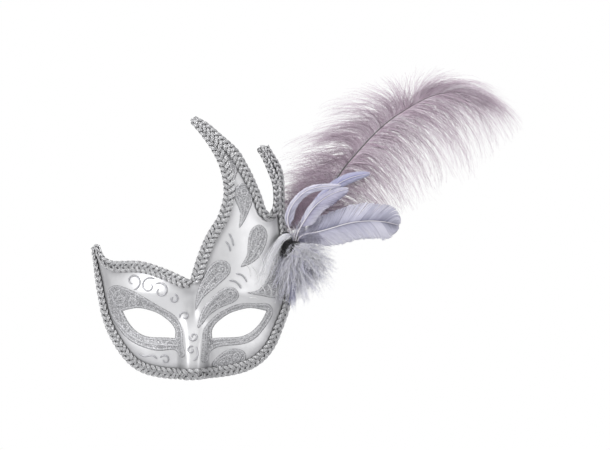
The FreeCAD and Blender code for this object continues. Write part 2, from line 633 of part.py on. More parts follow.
TUFT = [(98.5, 74), (112, 72), (124, 62), (121, 50), (112, 40), (101, 31), (96, 38), (94.6, 52)]
tuft = doc.addObject("Part::Extrusion", "marabou_tuft")
tuft.Base = sketch("marabou_tuft_outline", [closed(TUFT)])
tuft.DirMode = "Normal"
tuft.Solid = True
tuft.setExpression("LengthFwd", "-dimensions.tuft_front")
tuft.setExpression("LengthRev", "dimensions.tuft_back")
keep("marabou_tuft", tuft)

COVER = [(73, 62), (79, 67), (86, 66), (89, 52), (88, 36), (82, 29), (77, 40), (74, 52)]
layer_piece("marabou_cover", [closed(COVER)],
            (70, 91, 26, 70), pad_near, pad_near + dim("cover_thickness"))

# ---------------------------------------------------------------- tie eyes and felt on the inside


def tie_eye(name, at, turn, back):
    """A folded ribbon with a round eye along Z, its flat tail glued to the shell's inner face.

    back is 1 or -1: the side of the tail, along the ribbon's own Y, on which the eye lies.
    """
    inner, half = dim("tie_eye_radius"), dim("tie_ribbon_thickness")
    outer = inner + half
    near, far = -back * (dim("tie_eye_set_back") - half), -back * (dim("tie_eye_set_back") + half)
    near_neck, far_neck = math.sqrt(outer ** 2 - near ** 2), math.sqrt(outer ** 2 - far ** 2)
    body = doc.addObject("PartDesign::Body", name + "_body")
    plane = next(f for f in body.Origin.OriginFeatures if f.Role == "XY_Plane")
    profile = body.newObject("Sketcher::SketchObject", name + "_profile")
    profile.AttachmentSupport, profile.MapMode = [(plane, "")], "FlatFace"
    tail = near_neck + dim("tie_tail_length")
    for each in (arc((near_neck, near), (-outer, 0), (far_neck, far)), line((far_neck, far), (tail, far)),
                 line((tail, far), (tail, near)), line((tail, near), (near_neck, near)),
                 Part.Circle(Vector(), Vector(0, 0, 1), inner)):
        profile.addGeometry(each, False)
    loop = body.newObject("PartDesign::Pad", name + "_pad")
    loop.Profile, loop.Midplane = profile, True
    loop.setExpression("Length", "dimensions.tie_ribbon_width")
    body.Tip = loop
    body.Placement = Placement(at, Rotation(Vector(0, 0, 1), turn))
    return keep(name, body)


def channel(name, at, turn):
    """The room that a tie eye's tail takes in the felt over it."""
    item = doc.addObject("Part::Box", name)
    item.setExpression("Length", "dimensions.tie_tail_length + 2 * dimensions.tail_room_ahead")
    item.setExpression("Width", "2 * (dimensions.tie_ribbon_thickness + dimensions.glue_gap)")
    item.setExpression("Height", "dimensions.tie_ribbon_width + 2 * dimensions.glue_gap")
    doc.recompute()
    corner = Vector(-dim("tail_room_ahead"), -item.Width.Value / 2, -item.Height.Value / 2)
    item.Placement = Placement(at, Rotation(Vector(0, 0, 1), turn)).multiply(Placement(corner, Rotation()))
    return item


TAIL_RUN, EYE_AHEAD = 9.0, 4.6      # the tail's run across the front view, and the eye's place ahead of it
TAIL_LIFT = 0.3                     # how much further the tail's outer end stands off than its inner end
PATCH_INBOARD, PATCH_HALF, PATCH_CORNER = 8.0, (4.2, 9.0), 2.0


def rounded_box(x0, x1, z0, z1, corner):
    """The outline of an upright rectangle with rounded corners."""
    k = corner * (1 - math.sqrt(0.5))
    return [line((x0 + corner, z0), (x1 - corner, z0)),
            arc((x1 - corner, z0), (x1 - k, z0 + k), (x1, z0 + corner)),
            line((x1, z0 + corner), (x1, z1 - corner)),
            arc((x1, z1 - corner), (x1 - k, z1 - k), (x1 - corner, z1)),
            line((x1 - corner, z1), (x0 + corner, z1)),
            arc((x0 + corner, z1), (x0 + k, z1 - k), (x0, z1 - corner)),
            line((x0, z1 - corner), (x0, z0 + corner)),
            arc((x0, z0 + corner), (x0 + k, z0 + k), (x0 + corner, z0))]


def tie(side, name, edge_x, height):
    """One temple's tie eye and the felt patch over its tail, whose middle layer the tail takes."""
    near = -dim("shell_thickness") - dim("glue_gap")
    depth = near - dim("felt_thickness") / 2
    outer_end = on_face(edge_x, height, depth - TAIL_LIFT)
    run = on_face(edge_x - side * TAIL_RUN, height, depth) - outer_end
    turn = math.degrees(math.atan2(run.y, run.x))
    ahead = Vector(run.x, run.y, 0).normalize()
    behind = Vector(ahead.y, -ahead.x, 0) * side
    tail_start = outer_end - ahead * EYE_AHEAD
    tail_start.z = height
    at = tail_start + behind * dim("tie_eye_set_back")
    tie_eye("tie_eye_" + name, at, turn, -side)
    patch_x = edge_x - side * PATCH_INBOARD
    x0, x1 = patch_x - PATCH_HALF[0], patch_x + PATCH_HALF[0]
    z0, z1 = height - PATCH_HALF[1], height + PATCH_HALF[1]
    layer_piece("felt_patch_" + name, rounded_box(x0, x1, z0, z1, PATCH_CORNER),
                (x0 - 6, x1 + 6, z0 - 3, z1 + 3), near, near - dim("felt_thickness"),
                [channel("tail_room_" + name, tail_start, turn)])
    return at


LEFT_TIE, RIGHT_TIE = (-84.6, 34.0), (83.2, 26.0)      # where each tail meets the shell's edge, x and z
tie_eyes = [tie(-1, "left", *LEFT_TIE), tie(1, "right", *RIGHT_TIE)]

# ---------------------------------------------------------------- check and write

doc.recompute()
failed = [o.Label for o in doc.Objects if {"Invalid", "Error"} & set(o.State)]
if failed:
    raise RuntimeError(f"failed objects: {failed}")
for label, item in PARTS:
    shape = item.Shape
    if shape.isNull() or not shape.isValid() or not shape.Solids or shape.Volume <= 0:
        raise RuntimeError(f"{label} is not a valid solid")
os.makedirs("parts", exist_ok=True)
for label, item in PARTS:
    item.Shape.exportStep(f"parts/{label}.step")
    print(f"{label}: {len(item.Shape.Solids)} solid(s), {item.Shape.Volume:.0f} mm3")
for at in tie_eyes + [ROOT]:
    print("a tie eye or the quills' root is at", [round(v, 3) for v in at])
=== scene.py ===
"""Venetian half mask in silver, with a gimp braid edge, glitter drops and a spray of dyed feathers.

Lengths are in millimetres until a mesh is made. Y runs from the front of the mask to the wearer.
"""

import bpy
import numpy as np
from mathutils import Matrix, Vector


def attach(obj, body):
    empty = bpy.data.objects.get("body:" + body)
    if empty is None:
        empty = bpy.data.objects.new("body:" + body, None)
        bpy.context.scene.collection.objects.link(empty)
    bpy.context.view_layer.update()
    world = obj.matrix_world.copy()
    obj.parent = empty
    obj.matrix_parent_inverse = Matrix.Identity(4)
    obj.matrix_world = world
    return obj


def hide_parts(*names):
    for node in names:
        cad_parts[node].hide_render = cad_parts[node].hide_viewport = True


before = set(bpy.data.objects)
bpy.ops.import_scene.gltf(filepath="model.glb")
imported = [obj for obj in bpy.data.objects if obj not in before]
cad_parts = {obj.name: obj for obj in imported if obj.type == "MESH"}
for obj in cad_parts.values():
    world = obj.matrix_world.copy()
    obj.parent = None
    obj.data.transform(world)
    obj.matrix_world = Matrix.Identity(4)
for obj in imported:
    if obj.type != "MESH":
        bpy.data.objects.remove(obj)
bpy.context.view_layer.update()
MM = 0.001

# ---------------------------------------------------------------- table, lamps and camera
# The mask hangs free over a white table in a white tent, lit by a large lamp on each side and one
# over it, so that the silver shows soft bright and grey areas and no hard shadow.

VIEW_WIDTH, VIEW_CENTRE, LENS, SENSOR = 549.0, (100.4, 94.5), 150.0, 36.0
FLOOR_HEIGHT, FLOOR_SIZE = -420.0, 2500.0
TENT_LIGHT, TENT_SEEN = 0.50, 1.0

camera_data = bpy.data.cameras.new("camera")
camera_data.lens, camera_data.sensor_width = LENS, SENSOR
camera = bpy.data.objects.new("camera", camera_data)
camera.location = Vector((VIEW_CENTRE[0], -VIEW_WIDTH * LENS / SENSOR, VIEW_CENTRE[1])) * MM
camera.rotation_euler = (np.pi / 2, 0, 0)
bpy.context.scene.collection.objects.link(camera)
bpy.context.scene.camera = camera


def lamp(name, place, aim, size, power):
    """A square soft lamp at place, facing aim, both in metres."""
    data = bpy.data.lights.new(name, "AREA")
    data.size, data.energy = size, power
    item = bpy.data.objects.new(name, data)
    item.location = place
    item.rotation_euler = (Vector(aim) - Vector(place)).to_track_quat("-Z", "Y").to_euler()
    bpy.context.scene.collection.objects.link(item)


MASK_MIDDLE = (0.05, 0.0, 0.08)
lamp("left_lamp", (-1.3, -1.3, 0.7), MASK_MIDDLE, 0.7, 19.0)
lamp("right_lamp", (1.5, -1.1, 0.4), MASK_MIDDLE, 0.9, 6.5)
lamp("top_lamp", (0.1, -0.4, 1.6), MASK_MIDDLE, 0.7, 13.0)

tent = bpy.data.worlds.new("white_tent")
tent.use_nodes = True
tent_light = tent.node_tree.nodes["Background"]
tent_light.inputs["Color"].default_value = (1.0, 1.0, 1.0, 1.0)
seen = tent.node_tree.nodes.new("ShaderNodeLightPath").outputs["Is Camera Ray"]
level = tent.node_tree.nodes.new("ShaderNodeMapRange")
level.inputs["To Min"].default_value, level.inputs["To Max"].default_value = TENT_LIGHT, TENT_SEEN
tent.node_tree.links.new(seen, level.inputs["Value"])
tent.node_tree.links.new(level.outputs["Result"], tent_light.inputs["Strength"])
bpy.context.scene.world = tent
bpy.context.scene.view_settings.view_transform = "Standard"

table = bpy.data.objects.new("table", bpy.data.meshes.new("table"))
table.data.from_pydata([(x * FLOOR_SIZE * MM, y * FLOOR_SIZE * MM, FLOOR_HEIGHT * MM)
                        for x, y in ((-1, -1), (1, -1), (1, 1), (-1, 1))], [], [(0, 1, 2, 3)])
bpy.context.scene.collection.objects.link(table)

# ---------------------------------------------------------------- moulded shell
# One piece of papier mache, pressed over a form: a half face with a crest of flame, a horn beside it
# and two eye openings. It is sealed, sprayed pearl silver in front and left pale grey inside.

ARCH_HALF_WIDTH, ARCH_DEPTH, SHELL_THICKNESS = 102.0, 84.0, 2.0
FOREHEAD_LEAN, CHEEK_TUCK, LEAN_FROM, TUCK_FROM = 0.0005, 0.004, 20.0, -5.0
NOSE_HEIGHT, NOSE_HALF_WIDTH, NOSE_TOP, NOSE_TIP = 17.0, 11.0, 22.0, -42.0
SOCKET, SOCKET_DEPTH = (41.0, 5.0, 22.0, 15.0), 4.5
BROW, BROW_HEIGHT = (38.0, 33.0, 28.0, 10.0), 3.0
CREASE, CREASE_DEPTH = (5.0, 18.0, 16.0), 2.0

BROW_EDGE = [(-90, 76.5), (-84.5, 66), (-76, 60.6), (-64, 60), (-49, 60), (-34.5, 56.6), (-19, 50.6),
             (-2, 42.5)]
FLAME_EDGE = [(-2, 42.5), (3.8, 62), (9.2, 76.8), (15.5, 89.3), (22.3, 100.5), (26.3, 112), (28.3, 124.5),
              (26.8, 138.3), (22.7, 151.7), (15.5, 165.3), (7.3, 177), (-3, 189)]
NOTCH_EDGE = [(0.5, 191.3), (11, 185.5), (21, 177), (32.3, 167.3), (39.2, 160), (45, 150.2), (51, 138.8),
              (55.3, 128.8), (60, 116.8), (64, 106.5), (67.2, 104.2), (70, 107), (72, 113), (72.3, 122),
              (70.8, 133.7), (66.7, 144.2), (62.5, 154.2), (57, 163.6)]
SWEEP_EDGE = [(65, 166.5), (71, 156.5), (76.5, 146.5), (79, 132.8), (79.5, 118.5), (80, 103), (82, 86),
              (84.7, 70), (86.8, 51), (86.3, 34), (83.7, 17.2), (78.7, 2.8), (72, -13.7), (63.7, -25.2),
              (52, -33.8), (37.3, -38.6), (19, -41.2), (2, -42.2), (-14.5, -42.6), (-31, -41.2),
              (-46.2, -37.4), (-57.8, -30.2), (-68.7, -17.4), (-77.2, -3.2), (-83.3, 12.9), (-86.7, 28.2),
              (-89.2, 41.8), (-91.8, 58.6), (-94, 74)]
BROW_TIP, FLAME_TIP, HORN_TIP = (-92.9, 76.8), (-2.3, 191.4), (60.2, 167.3)
EYE_UPPER = [(17, -7.5), (16.6, -1), (19.7, 5), (25.2, 10), (32.3, 14.6), (41.4, 17.7), (49.5, 19.2),
             (58, 18.3), (65.8, 16.2)]
EYE_LOWER = [(65.8, 16.2), (61.7, 8.6), (57, 2.5), (50.5, -3), (43.4, -6), (33.3, -7), (24.2, -7),
             (17, -7.5)]


def relief(x, z):
    """How far back the front face lies: an elliptical arch, a lean above and a tuck below, less a nose
    that swells downwards, plus two sockets, less two brows, plus a crease between them."""
    arch = ARCH_DEPTH * (1 - np.sqrt(1 - np.clip(x / ARCH_HALF_WIDTH, -0.99, 0.99) ** 2))
    lean = FOREHEAD_LEAN * np.maximum(0, z - LEAN_FROM) ** 2
    tuck = CHEEK_TUCK * np.minimum(0, z - TUCK_FROM) ** 2
    rise = np.clip((NOSE_TOP - z) / (NOSE_TOP - NOSE_TIP), 0, 1)
    nose = NOSE_HEIGHT * rise ** 2 * (3 - 2 * rise) * np.exp(-(x / NOSE_HALF_WIDTH) ** 4)
    socket, brow = (np.exp(-((np.abs(x) - a) / c) ** 2 - ((z - b) / d) ** 2)
                    for a, b, c, d in (SOCKET, BROW))
    crease = np.exp(-(x / CREASE[0]) ** 2 - ((z - CREASE[1]) / CREASE[2]) ** 2)
    return arch + lean + tuck - nose + SOCKET_DEPTH * socket - BROW_HEIGHT * brow + CREASE_DEPTH * crease


def face_normals(x, z, step=0.05):
    """Unit normals of the front face, out towards the viewer, from its slopes over a small step."""
    along_x = (relief(x + step, z) - relief(x - step, z)) / (2 * step)
    along_z = (relief(x, z + step) - relief(x, z - step)) / (2 * step)
    normal = np.stack([along_x, -np.ones_like(along_x), along_z], -1)
    return normal / np.linalg.norm(normal, axis=-1, keepdims=True)


def raw_face(x, z, out):
    """Points of the face before it is set on its datum, moved out along the normals."""
    x, z = np.asarray(x, float), np.asarray(z, float)
    return np.stack([x, relief(x, z), z], -1) + face_normals(x, z) * np.asarray(out, float)[..., None]


DATUM = -relief(0.0, 0.0) - SHELL_THICKNESS / -face_normals(np.float64(0.0), np.float64(0.0))[1]


def on_face(x, z, out=0.0):
    """Points of the face at x, z, moved out along the normals, with the inner face at the origin."""
    return raw_face(x, z, out) + (0, DATUM, 0)


def flow(points, step, closed=False):
    """Evenly spaced points, about step apart, on a smooth line through the given points.

    Between two points the line is a cubic, and its slope and bend carry on from one span to the next:
    the bends solve the usual three-term equations and are nil at the ends. A closed line is first run
    on past both of its ends."""
    given = np.asarray(points, float)
    total, spare = len(given), 4 if closed else 0
    if closed:
        given = np.concatenate([given[-spare:], given, given[:spare + 1]])
    gaps = np.linalg.norm(np.diff(given, axis=0), axis=1)
    at = np.concatenate([[0.0], np.cumsum(gaps)])
    bends = np.zeros_like(given)
    matrix = np.diag(2 * (gaps[:-1] + gaps[1:])) + np.diag(gaps[1:-1], 1) + np.diag(gaps[1:-1], -1)
    bends[1:-1] = np.linalg.solve(matrix, 6 * np.diff(np.diff(given, axis=0) / gaps[:, None], axis=0))
    s = np.linspace(at[spare], at[spare + total] if closed else at[-1], 40 * total)
    span = np.clip(np.searchsorted(at, s, side="right") - 1, 0, len(gaps) - 1)
    right = ((s - at[span]) / gaps[span])[:, None]
    left = 1 - right
    cubic = (left ** 3 - left) * bends[span] + (right ** 3 - right) * bends[span + 1]
    line = left * given[span] + right * given[span + 1] + cubic * gaps[span][:, None] ** 2 / 6
    run = np.concatenate([[0.0], np.cumsum(np.linalg.norm(np.diff(line, axis=0), axis=1))])
    even = np.linspace(0, run[-1], max(4, round(run[-1] / step)) + 1)
    even = even[:-1] if closed else even
    return np.stack([np.interp(even, run, line[:, k]) for k in range(line.shape[1])], -1)


def round_end(start, middle, end, step):
    """Points between start and end on the circle through three points."""
    a, b, c = (complex(*p) for p in (start, middle, end))
    ratio = (c - a) / (b - a)
    centre = a + (b - a) * (ratio - abs(ratio) ** 2) / (2j * ratio.imag) if abs(ratio.imag) > 1e-9 else b
    turn = np.angle((c - centre) / (a - centre))
    if turn * np.angle((b - centre) / (a - centre)) < 0:
        turn -= np.sign(turn) * 2 * np.pi
    angles = np.linspace(0, turn, max(4, round(abs(turn) * abs(a - centre) / step)))[1:-1]
    points = centre + (a - centre) * np.exp(1j * angles)
    return np.stack([points.real, points.imag], -1)


LOOP_STEP = 1.2
shell_edge = np.concatenate([
    flow(BROW_EDGE, LOOP_STEP)[:-1], flow(FLAME_EDGE, LOOP_STEP),
    round_end(FLAME_EDGE[-1], FLAME_TIP, NOTCH_EDGE[0], LOOP_STEP), flow(NOTCH_EDGE, LOOP_STEP),
    round_end(NOTCH_EDGE[-1], HORN_TIP, SWEEP_EDGE[0], LOOP_STEP), flow(SWEEP_EDGE, LOOP_STEP),
    round_end(SWEEP_EDGE[-1], BROW_TIP, BROW_EDGE[0], LOOP_STEP)])
right_eye = np.concatenate([flow(EYE_UPPER, LOOP_STEP)[:-1], flow(EYE_LOWER, LOOP_STEP)[:-1]])
left_eye = right_eye * (-1, 1)


def bits(line, closed):
    """A line's straight bits, as their starts and their runs."""
    ends = np.roll(line, -1, axis=0) if closed else line[1:]
    starts = line if closed else line[:-1]
    return starts, ends - starts


def nearest(points, lines, closed=False):
    """Distance from each x, z point to the nearest line, and the nearest point there: on each straight
    bit that is the foot of the perpendicular, kept within the bit."""
    starts, runs = (np.concatenate(each) for each in zip(*(bits(line, closed) for line in lines)))
    found = []
    for some in np.array_split(points, max(1, len(points) * len(starts) // 4_000_000)):
        away = some[:, None] - starts
        share = np.clip((away * runs).sum(-1) / (runs ** 2).sum(-1), 0, 1)
        gap = away - share[..., None] * runs
        best = (gap ** 2).sum(-1).argmin(1)
        found.append(gap[np.arange(len(some)), best])
    gap = np.concatenate(found)
    return np.linalg.norm(gap, axis=-1), points - gap


def within(points, loops):
    """Whether each x, z point is inside the loops, by counting the bits that a level ray crosses."""
    starts, runs = (np.concatenate(each) for each in zip(*(bits(line, True) for line in loops)))
    counts = []
    for some in np.array_split(points, max(1, len(points) * len(starts) // 4_000_000)):
        x, z = some[:, :1], some[:, 1:]
        crosses = (starts[:, 1] > z) != (starts[:, 1] + runs[:, 1] > z)
        rise = np.where(runs[:, 1] == 0, 1e-12, runs[:, 1])
        counts.append((crosses & (starts[:, 0] + (z - starts[:, 1]) * runs[:, 0] / rise > x)).sum(1))
    return np.concatenate(counts) % 2 == 1


def trimmed_grid(loops, cell):
    """A square grid in the front view, trimmed to closed loops: x, z points, quads and edge distances.

    The cells whose middles are inside stay, and the points on the trimmed border move to the nearest
    loop."""
    low, high = np.concatenate(loops).min(0) - cell, np.concatenate(loops).max(0) + cell
    across, up = (np.arange(low[k], high[k] + cell, cell) for k in (0, 1))
    grid = np.stack(np.meshgrid(across, up, indexing="ij"), -1)
    kept = within((grid[:-1, :-1] + cell / 2).reshape(-1, 2), loops)
    number = np.arange(len(across) * len(up)).reshape(len(across), len(up))
    quads = np.stack([number[:-1, :-1], number[1:, :-1], number[1:, 1:], number[:-1, 1:]], -1)
    quads = quads.reshape(-1, 4)[kept]
    used, quads = np.unique(quads, return_inverse=True)
    quads = quads.reshape(-1, 4)
    points = grid.reshape(-1, 2)[used]
    on_border = np.bincount(quads.ravel(), minlength=len(used)) < 4
    edge, foot = nearest(points, loops, closed=True)
    points = np.where(on_border[:, None], foot, points)
    return points, quads, np.where(on_border, 0.0, edge)


def made(name, points, faces, uv=None, **tints):
    """A mesh piece from points in millimetres and an array of faces, shaded smooth. Each tint is a
    number at every point, which its material reads."""
    mesh = bpy.data.meshes.new(name)
    faces = np.asarray(faces, np.int32)
    mesh.vertices.add(len(points))
    mesh.vertices.foreach_set("co", (np.asarray(points) * MM).astype(np.float32).ravel())
    mesh.loops.add(faces.size)
    mesh.loops.foreach_set("vertex_index", faces.ravel())
    mesh.polygons.add(len(faces))
    mesh.polygons.foreach_set("loop_start", np.arange(len(faces), dtype=np.int32) * faces.shape[1])
    mesh.update(calc_edges=True)
    mesh.shade_smooth()
    if uv is not None:
        mesh.uv_layers.new(name="along").uv.foreach_set("vector", np.asarray(uv)[faces.ravel()].ravel())
    for label, values in tints.items():
        layer = mesh.attributes.new(label, "FLOAT", "POINT")
        layer.data.foreach_set("value", np.broadcast_to(values, len(points)).astype(np.float32))
    item = bpy.data.objects.new(name, mesh)
    bpy.context.scene.collection.objects.link(item)
    return item


class Wire:
    """A socket of a material's nodes. Sums on wires add the Math nodes that work them out."""

    def __init__(self, finish, socket):
        self.finish, self.socket = finish, socket

    def math(self, operation, *values, clamp=False):
        settings = {"operation": operation, "use_clamp": clamp}
        return self.finish.node("ShaderNodeMath", settings, dict(enumerate(values)))

    def __add__(self, other):
        return self.math("ADD", self, other)

    def __sub__(self, other):
        return self.math("SUBTRACT", self, other)

    def __rsub__(self, other):
        return self.math("SUBTRACT", other, self)

    def __mul__(self, other):
        return self.math("MULTIPLY", self, other)

    __radd__, __rmul__ = __add__, __mul__

    def sine(self):
        return self.math("SINE", self)

    def clipped(self):
        return self.math("ADD", self, 0.0, clamp=True)


class Finish:
    """A material under construction, with one principled shader and the nodes that feed it."""

    def __init__(self, name, **constants):
        self.material = bpy.data.materials.new(name)
        self.material.use_nodes = True
        self.tree = self.material.node_tree
        self.shader = self.tree.nodes["Principled BSDF"]
        for socket, value in constants.items():
            self.shader.inputs[socket.replace("_", " ").title().replace("Ior", "IOR")].default_value = value

    def node(self, kind, settings=None, inputs=None, output=0):
        """Adds a node of a kind: its settings first, then the values or wires of its sockets."""
        item = self.tree.nodes.new(kind)
        for key, value in (settings or {}).items():
            if key == "stops":
                for place, colour in value[2:]:
                    item.color_ramp.elements.new(place)
                for element, (place, colour) in zip(item.color_ramp.elements, sorted(value)):
                    element.position, element.color = place, (*colour, 1.0)
            else:
                setattr(item, key, value)
        for key, value in (inputs or {}).items():
            if isinstance(value, Wire):
                self.tree.links.new(value.socket, item.inputs[key])
            else:
                item.inputs[key].default_value = value
        return Wire(self, item.outputs[output])

    def tint(self, name):
        return self.node("ShaderNodeAttribute", {"attribute_name": name}, output="Fac")

    def noise(self, scale, detail=3.0, roughness=0.5):
        """Soft noise between 0 and 1 over the piece, with about scale cells to the metre."""
        place = self.node("ShaderNodeTexCoord", output="Object")
        return self.node("ShaderNodeTexNoise", None,
                         {"Vector": place, "Scale": scale, "Detail": detail, "Roughness": roughness})

    def blend(self, share, first, second):
        """A colour between two colours, each a wire or three numbers."""
        first, second = (c if isinstance(c, Wire) else (*c, 1.0) for c in (first, second))
        return self.node("ShaderNodeMix", {"data_type": "RGBA"}, {0: share, 6: first, 7: second}, output=2)

    def feed(self, **wires):
        """Joins wires to the shader's own sockets and gives the finished material."""
        for socket, wire in wires.items():
            self.tree.links.new(wire.socket, self.shader.inputs[socket.replace("_", " ").title()])
        return self.material

    def bump(self, height, depth, strength=1.0):
        """A normal from a height between 0 and 1 that stands depth metres high."""
        return self.node("ShaderNodeBump", None,
                         {"Height": height, "Distance": depth, "Strength": strength})


laminate = Finish("white_laminate", specular_ior_level=0.3)
table.data.materials.append(laminate.feed(
    base_color=laminate.blend(laminate.noise(6.0), (0.80, 0.80, 0.81), (0.86, 0.86, 0.87)),
    roughness=0.5 + laminate.noise(20.0) * 0.15))

pearl = Finish("pearl_silver", metallic=0.6, coat_weight=0.3, coat_roughness=0.22)
# The base colour is darkened by the shell's painted shade, with a random mottle over it.
shade_and_mottle = (pearl.tint("hollow") + (pearl.noise(140.0) - 0.5) * 0.5).clipped()
cloud = pearl.noise(28.0, 4.0)
silver = pearl.blend(cloud, (0.62, 0.62, 0.635), (0.74, 0.74, 0.75))
pearl_paint = pearl.feed(
    base_color=pearl.blend(shade_and_mottle * 0.75, silver, (0.34, 0.34, 0.355)),
    roughness=0.36 + pearl.noise(60.0) * 0.16,
    normal=pearl.bump(pearl.noise(700.0, 4.0) * 0.35 + pearl.noise(90.0) * 0.65, 0.0005, 0.35))

lining = Finish("bare_lining", specular_ior_level=0.3)
lining_paint = lining.feed(
    base_color=lining.blend(lining.noise(55.0, 5.0), (0.60, 0.59, 0.57), (0.72, 0.71, 0.69)),
    roughness=0.75 + lining.noise(200.0) * 0.2,
    normal=lining.bump(lining.noise(260.0, 6.0, roughness=0.65), 0.0012, 0.6))

SHELL_CELL, RIM_RADIUS = 0.8, 0.8
points, quads, edge = trimmed_grid([shell_edge, right_eye, left_eye], SHELL_CELL)
rim = RIM_RADIUS - np.sqrt(np.maximum(0, RIM_RADIUS ** 2 - np.maximum(0, RIM_RADIUS - edge) ** 2))
x, z = points.T
# Painted shade: the silver is greyer beside the nose, between the brows, along the braid, at the temple
# and on the cheeks, where the shell sinks or turns away and shade would fall.
beside_nose = np.exp(-((np.abs(x) - 13) / 4) ** 2) * np.clip((14 - z) / 30, 0, 1)
between_brows = np.exp(-(x / 6) ** 2 - ((z - 22) / 14) ** 2)
braid_shade = np.exp(-((nearest(points, [shell_edge], closed=True)[0] - 8.5) / 3.5) ** 2)
temple = np.clip((x - 44) / 34, 0, 1) * np.clip((96 - z) / 40, 0, 1)
cheeks = np.clip((20 - z) / 50, 0, 1) * np.clip((np.abs(x) - 12) / 10, 0, 1)
hollow = 0.55 * beside_nose + 0.45 * between_brows + 0.5 * braid_shade + 0.4 * temple + 0.25 * cheeks
shell = made("moulded_shell", on_face(x, z, -rim * 0.5), quads, hollow=hollow)
shell.data.materials.append(pearl_paint)
shell.data.materials.append(lining_paint)
wall = shell.modifiers.new("wall", "SOLIDIFY")
wall.thickness, wall.offset, wall.use_even_offset = SHELL_THICKNESS * MM, -1.0, True
wall.material_offset = 1
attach(shell, "mask")
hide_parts("mask_shell")

# ---------------------------------------------------------------- glitter drops and eye bands
# Shapes painted in clear varnish, dusted with fine silver glitter and lined with a raised thread of
# gesso just inside the border, with a curl in the head of each drop.

LEFT_BAND = [(-73, 39.7), (-62.6, 38), (-50.6, 32.8), (-38.5, 25.9), (-26.5, 19), (-17.9, 13.9), (-11.9, 6),
             (-9.3, -3), (-8.6, -14), (-8, -24), (-11, -25), (-15, -20), (-26.5, -19), (-40.3, -18),
             (-50.6, -14.6), (-61, -8.6), (-69, 0), (-76.5, 12), (-80.3, 25), (-79.6, 35.5)]
RIGHT_BAND = [(14.4, 8), (20, 13.4), (29, 18.8), (37.6, 22.6), (46.8, 24.2), (56, 23.6), (68.7, 21.9),
              (71.4, 17.3), (69.5, 9.5), (63.9, 0.9), (55.3, -8.6), (46.6, -12.9), (36.2, -14.3),
              (27.4, -15), (18.4, -17.5), (14.5, -22), (12, -29), (8.4, -29), (7.6, -20), (8, -9), (8.8, 0)]
DROP_OVER_EYE = [(4.4, 1.5), (5.4, 12), (11, 23), (19.6, 32.3), (28, 38), (35, 38.6), (40, 34.5),
                 (40.6, 29.2), (36.8, 25), (27.4, 21), (18.5, 16), (12.2, 10.4), (7.4, 4)]
DROP_BROW = [(1.8, 17), (1.8, 27), (5.4, 41), (11, 52.6), (17, 60.3), (23.2, 63), (29.4, 62), (33.2, 57),
             (32.8, 51.2), (27.6, 45), (18.8, 37.2), (9.6, 29.4), (4.6, 22)]
DROP_SIDE = [(42.2, 56.4), (46.2, 64.5), (48.2, 75), (49.4, 85.2), (52.8, 92), (59, 95), (64.4, 91.4),
             (66.4, 84.6), (65, 77), (61.4, 69), (56.3, 62.6), (49.4, 58.4)]
DROP_FLAME = [(40.9, 91.6), (41.2, 101), (40, 110), (36.2, 119.8), (37.2, 128), (42.4, 132.6),
              (48.6, 131.8), (52.4, 125), (53, 115.6), (50.2, 107.8), (45.8, 98)]
DROP_TIP = [(35.6, 134), (32, 144), (26.6, 155), (22, 163.8), (27, 165), (33, 159), (38, 151.4),
            (39.4, 145), (38, 138.6)]
DROP_CHEEK = [(16, -32), (22.6, -23), (30.8, -17.8), (38.5, -17), (45.6, -20), (47.4, -25.4), (43, -31.5),
              (30, -35)]
LEAF_TEMPLE = [(47.2, 33.4), (55, 34.8), (61.9, 40), (67.8, 50.4), (70.6, 61.2), (74, 70), (80, 66),
               (80.6, 50), (79.4, 36), (74, 28.4), (64, 29.4), (54.9, 31.2)]
GLITTER_CELL, GLITTER_RISE, LINING_IN, LINING_RISE, LINING_SPREAD = 0.5, 0.55, 1.5, 0.55, 0.42


def volute(centre, radius, start, turns, hand, stalk=0.0):
    """A scroll's line: it starts at radius and the start angle and winds in evenly to 0.28 of the
    radius, after a straight stalk."""
    share = np.linspace(0, 1, max(8, round(turns * 12)) + 1)
    angle = np.radians(start) + hand * 2 * np.pi * turns * share
    reach = radius * (1 - 0.72 * share)
    line = np.asarray(centre) + reach[:, None] * np.stack([np.cos(angle), np.sin(angle)], -1)
    heading = np.radians(start) - hand * np.pi / 2
    foot = line[:1] + stalk * np.array([[np.cos(heading), np.sin(heading)]])
    return np.concatenate([foot, line]) if stalk else line


glitter = Finish("silver_glitter", metallic=0.45, coat_weight=0.1, coat_roughness=0.3)
flake_place = glitter.node("ShaderNodeTexCoord", output="Object")
flakes = glitter.node("ShaderNodeTexVoronoi", {"feature": "F1"},
                      {"Vector": flake_place, "Scale": 2100.0}, "Color")
flake = glitter.node("ShaderNodeSeparateColor", None, {"Color": flakes}, "Red")
gloss = glitter.node("ShaderNodeSeparateColor", None, {"Color": flakes}, "Green")
thread = glitter.tint("thread")
# Painted glint and shade: each flake gets a grey at random, most mid grey and a few near white, for flakes
# tilted to the light.
flake_glint_stops = [(0.0, (0.18, 0.18, 0.19)), (1.0, (0.97, 0.97, 0.99)), (0.62, (0.40, 0.40, 0.415)),
              (0.86, (0.60, 0.60, 0.62))]
flake_tone_and_glint = glitter.node("ShaderNodeValToRGB", {"stops": flake_glint_stops}, {"Fac": flake})
# Painted shadow: each glitter shape darkens towards its border, where it meets the shell; the border tint
# carries it.
glitter_paint = glitter.feed(
    base_color=glitter.blend(glitter.tint("border") * 0.45,
                             glitter.blend(thread * 0.7, flake_tone_and_glint, (0.66, 0.66, 0.68)), (0.24, 0.24, 0.25)),
    roughness=0.38 + gloss * 0.4,
    normal=glitter.bump(flake * (1 - thread * 0.7), 0.00035, 0.8))


